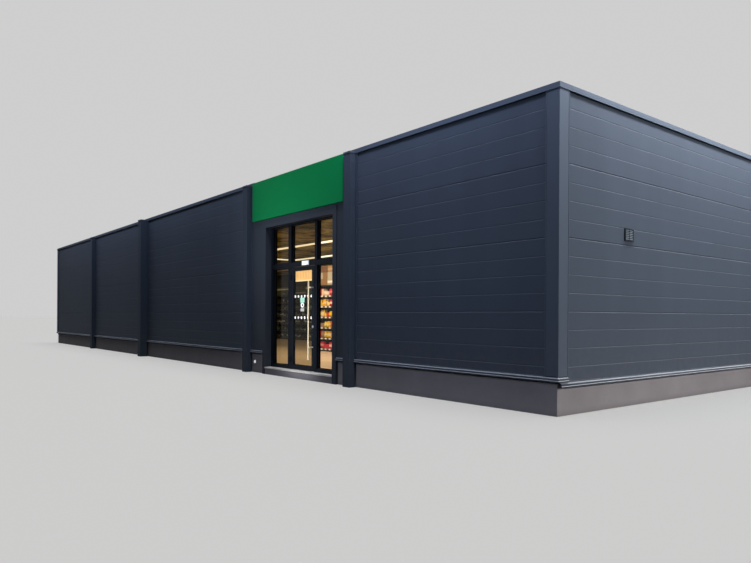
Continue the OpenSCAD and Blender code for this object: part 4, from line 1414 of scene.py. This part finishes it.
class SHOP_OT_stage(bpy.types.Operator):
    """Adds the plain floor, the soft lights and the camera"""

    bl_idname = "shop.stage"
    bl_label = "Stage"

    def execute(self, context):
        stage = context.scene.shop_stage
        floor = self.add_floor(stage)
        self.add_world(context, stage)
        self.leave_out(floor, self.add_wall_lamps(stage) + self.add_shop_lamps(stage))
        self.add_sun(stage)
        self.add_camera(context, stage)
        context.scene.view_settings.view_transform = "Standard"
        return {"FINISHED"}

    def add_floor(self, stage):
        """Plain floor: seen directly it is as bright as the background, apart from
        the shadow."""
        deselect_all()
        bpy.ops.mesh.primitive_plane_add(size=stage.floor_size, location=(0, 0, -MM))
        floor = bpy.context.object
        floor.name = "studio_floor"
        material, tree, shader, _ = start_material(
            "matt_paper", Roughness=0.95, Specular_IOR_Level=0.0, Emission_Color=WHITE
        )
        seen = self.seen_directly(tree)
        glow = add(tree, "Math", {0: seen, 1: stage.floor_glow}, operation="MULTIPLY")
        pale = add(
            tree, "Mix",
            {
                FACTOR: seen, FIRST: rgba(stage.floor_colour, stage.bounce),
                SECOND: rgba(stage.floor_colour),
            },
            data_type="RGBA",
        )
        feed(tree, shader, {"Emission Strength": glow, "Base Color": pale})
        floor.data.materials.append(material)
        return floor

    def add_world(self, context, stage):
        """Even white light from all round, brighter where it is seen directly."""
        world = bpy.data.worlds.new("studio")
        context.scene.world = world
        world.use_nodes = True
        tree = world.node_tree
        background = tree.nodes["Background"]
        seen = self.seen_directly(tree)
        level = add(
            tree, "MapRange", {"Value": seen, "To Min": stage.sky, "To Max": stage.backdrop}
        )
        feed(tree, background, {"Color": WHITE, "Strength": level})

    def seen_directly(self, tree):
        """1 where the camera, a reflection or glass shows the stage itself."""
        path = add(tree, "LightPath").outputs
        seen = add(
            tree, "Math", {0: path["Is Camera Ray"], 1: path["Is Glossy Ray"]}, operation="MAXIMUM"
        )
        return add(
            tree, "Math", {0: seen, 1: path["Is Transmission Ray"]}, operation="MAXIMUM"
        ).outputs[0]

    def add_wall_lamps(self, stage):
        """A softbox opposite each wall lights it evenly, and a strip near its top
        edge makes it brighter there, as the open sky does."""
        warm, cool = stage.warm, stage.cool
        box, strip, rear = (
            {part: getattr(stage, kind + "_" + part) for part in ("off", "z", "aim", "depth")}
            for kind in ("box", "strip", "rear")
        )
        back_face = stage.rear_gain * stage.rear_face
        back_top = stage.rear_gain * stage.rear_top
        lamps = [
            self.wall_lamp("right_face", "right", stage.right_face, warm, -1.5, 9.0, **box),
            self.wall_lamp("right_top", "right", stage.right_top, warm, 0, 11.0, **strip),
            self.wall_lamp(
                "bay_face", "front", stage.bay_face, cool, 13.0, 4.0,
                off=7.0, z=4.0, aim=2.2, depth=3.0, aim_along=12.2,
            ),
            self.wall_lamp("bay_top", "front", stage.bay_top, cool, 11.8, 5.5, **strip),
            self.wall_lamp("row_top", "front", stage.row_top, cool, -4.0, 19.0, **strip),
            self.wall_lamp("back_face", "back", back_face, WHITE, 0, 24.0, **box),
            self.wall_lamp("back_top", "back", back_top, WHITE, 0, 28.0, **rear),
            self.wall_lamp("left_face", "left", stage.rear_face, WHITE, 0, 9.0, **box),
            self.wall_lamp("left_top", "left", stage.rear_top, WHITE, 0, 11.0, **rear),
        ]
        door = self.wall_lamp(
            "door_face", "front", stage.door_face, WHITE, 6.8, 2.0,
            off=3.2, z=2.9, aim=3.3, depth=2.0,
        )
        door.data.spread = stage.door_spread
        # An upright strip that the door's bar and frame reflect
        leaf = self.wall_lamp(
            "leaf_face", "front", stage.leaf_face, WHITE, 7.8, 0.3,
            off=1.4, z=1.2, aim=1.2, depth=1.8, aim_along=7.6,
        )
        leaf.data.spread = stage.leaf_spread
        leaf.visible_glossy = True
        return lamps + [door, leaf]

    def wall_lamp(self, name, wall, power, tint, along, length, off, z, aim, depth, aim_along=None):
        """A softbox off one wall, which points at a height on that wall."""
        target = self.off_wall(wall, along if aim_along is None else aim_along, 0, aim)
        return self.area_lamp(
            name, self.off_wall(wall, along, off, z), length, depth, power, tint, target
        )

    def off_wall(self, wall, along, off, z):
        """A point at a place along a wall, a distance away from it and a height."""
        return {
            "right": (WALL_X + off, along, z),
            "left": (-WALL_X - off, along, z),
            "front": (along, -WALL_Y - off, z),
            "back": (along, WALL_Y + off, z),
        }[wall]

    def add_shop_lamps(self, stage):
        """Broad lamps under the ceiling, which light the goods and the floor."""
        z = stage.shop_z
        return [
            self.area_lamp("shop_front", (4.0, -2.4, z), 9.0, 4.0, stage.shop_front, stage.indoor),
            self.area_lamp("shop_rest", (-4.0, 1.5, z), 18.0, 6.0, stage.shop_rest, stage.indoor),
        ]

    def area_lamp(self, name, place, length, depth, power, tint, target=None):
        """An area lamp that isn't seen itself, and points down or at a target."""
        deselect_all()
        bpy.ops.object.light_add(type="AREA", location=place)
        lamp = bpy.context.object
        lamp.name = name
        lamp.data.shape = "RECTANGLE"
        lamp.data.size = length
        lamp.data.size_y = depth
        lamp.data.energy = power
        lamp.data.color = tint[:3]
        if target:
            aim = Vector(place) - Vector(target)
            lamp.rotation_euler = aim.to_track_quat("Z", "Y").to_euler()
        lamp.visible_camera = False
        lamp.visible_transmission = False
        lamp.visible_glossy = False
        return lamp

    def leave_out(self, floor, lamps):
        """Makes the lamps leave the floor out, so that they throw no pools on it."""
        unlit = bpy.data.collections.new("outside_the_softboxes")
        unlit.objects.link(floor)
        unlit.collection_objects[0].light_linking.link_state = "EXCLUDE"
        for lamp in lamps:
            lamp.light_linking.receiver_collection = unlit

    def add_sun(self, stage):
        """Wide light from above, which gives the shadow on the floor."""
        deselect_all()
        bpy.ops.object.light_add(type="SUN", location=(0, 0, 20))
        sun = bpy.context.object
        sun.name = "wide_sun"
        sun.data.energy = stage.sun
        sun.data.angle = stage.sun_width
        sun.rotation_euler = Vector(stage.sun_from).to_track_quat("Z", "Y").to_euler()

    def add_camera(self, context, stage):
        """Camera at the photo's place, with its lens shifted up."""
        deselect_all()
        bpy.ops.object.camera_add(location=stage.eye)
        camera = bpy.context.object
        camera.name = "photo_camera"
        camera.data.sensor_fit = "HORIZONTAL"
        camera.data.sensor_width = 36.0
        camera.data.lens = stage.lens
        camera.data.shift_y = stage.rise
        camera.data.clip_end = 2000.0
        level = Matrix.Rotation(stage.heading, 4, "Z") @ Matrix.Rotation(math.radians(90), 4, "X")
        camera.matrix_world = (
            Matrix.Translation(stage.eye) @ level @ Matrix.Rotation(stage.roll, 4, "Z")
        )
        context.scene.camera = camera


class SHOP_PT_panel(bpy.types.Panel):
    """Lists the steps that dress the building"""

    bl_label = "Supermarket Building"
    bl_idname = "SHOP_PT_panel"
    bl_space_type = "VIEW_3D"
    bl_region_type = "UI"
    bl_category = "Supermarket"

    def draw(self, context):
        for operator in STEPS:
            self.layout.operator(operator.bl_idname)
        for name, settings in SETTINGS.items():
            for value in settings.__annotations__:
                self.layout.prop(getattr(context.scene, name), value)


STEPS = (
    SHOP_OT_finishes, SHOP_OT_goods, SHOP_OT_price_rails, SHOP_OT_glass_marks,
    SHOP_OT_gaskets, SHOP_OT_header, SHOP_OT_lamps, SHOP_OT_vent, SHOP_OT_stage,
)
SETTINGS = {
    "shop_finishes": FinishSettings, "shop_goods": GoodsSettings,
    "shop_glazing": GlazingSettings, "shop_header": HeaderSettings,
    "shop_lamps": LampSettings, "shop_vent": VentSettings, "shop_stage": StageSettings,
}
CLASSES = (*SETTINGS.values(), *STEPS, SHOP_PT_panel)


def register():
    """Registers the classes and puts the settings on the scene."""
    for cls in CLASSES:
        bpy.utils.register_class(cls)
    for name, group in SETTINGS.items():
        setattr(bpy.types.Scene, name, bpy.props.PointerProperty(type=group))


def unregister():
    """Takes the settings and the classes away again."""
    for name in SETTINGS:
        delattr(bpy.types.Scene, name)
    for cls in reversed(CLASSES):
        bpy.utils.unregister_class(cls)


def main():
    """Dresses the building."""
    register()
    bpy.ops.shop.finishes()
    bpy.ops.shop.goods()
    bpy.ops.shop.price_rails()
    bpy.ops.shop.glass_marks()
    bpy.ops.shop.gaskets()
    bpy.ops.shop.header()
    bpy.ops.shop.lamps()
    bpy.ops.shop.vent()
    bpy.ops.shop.stage()


if __name__ == "__main__":
    main()
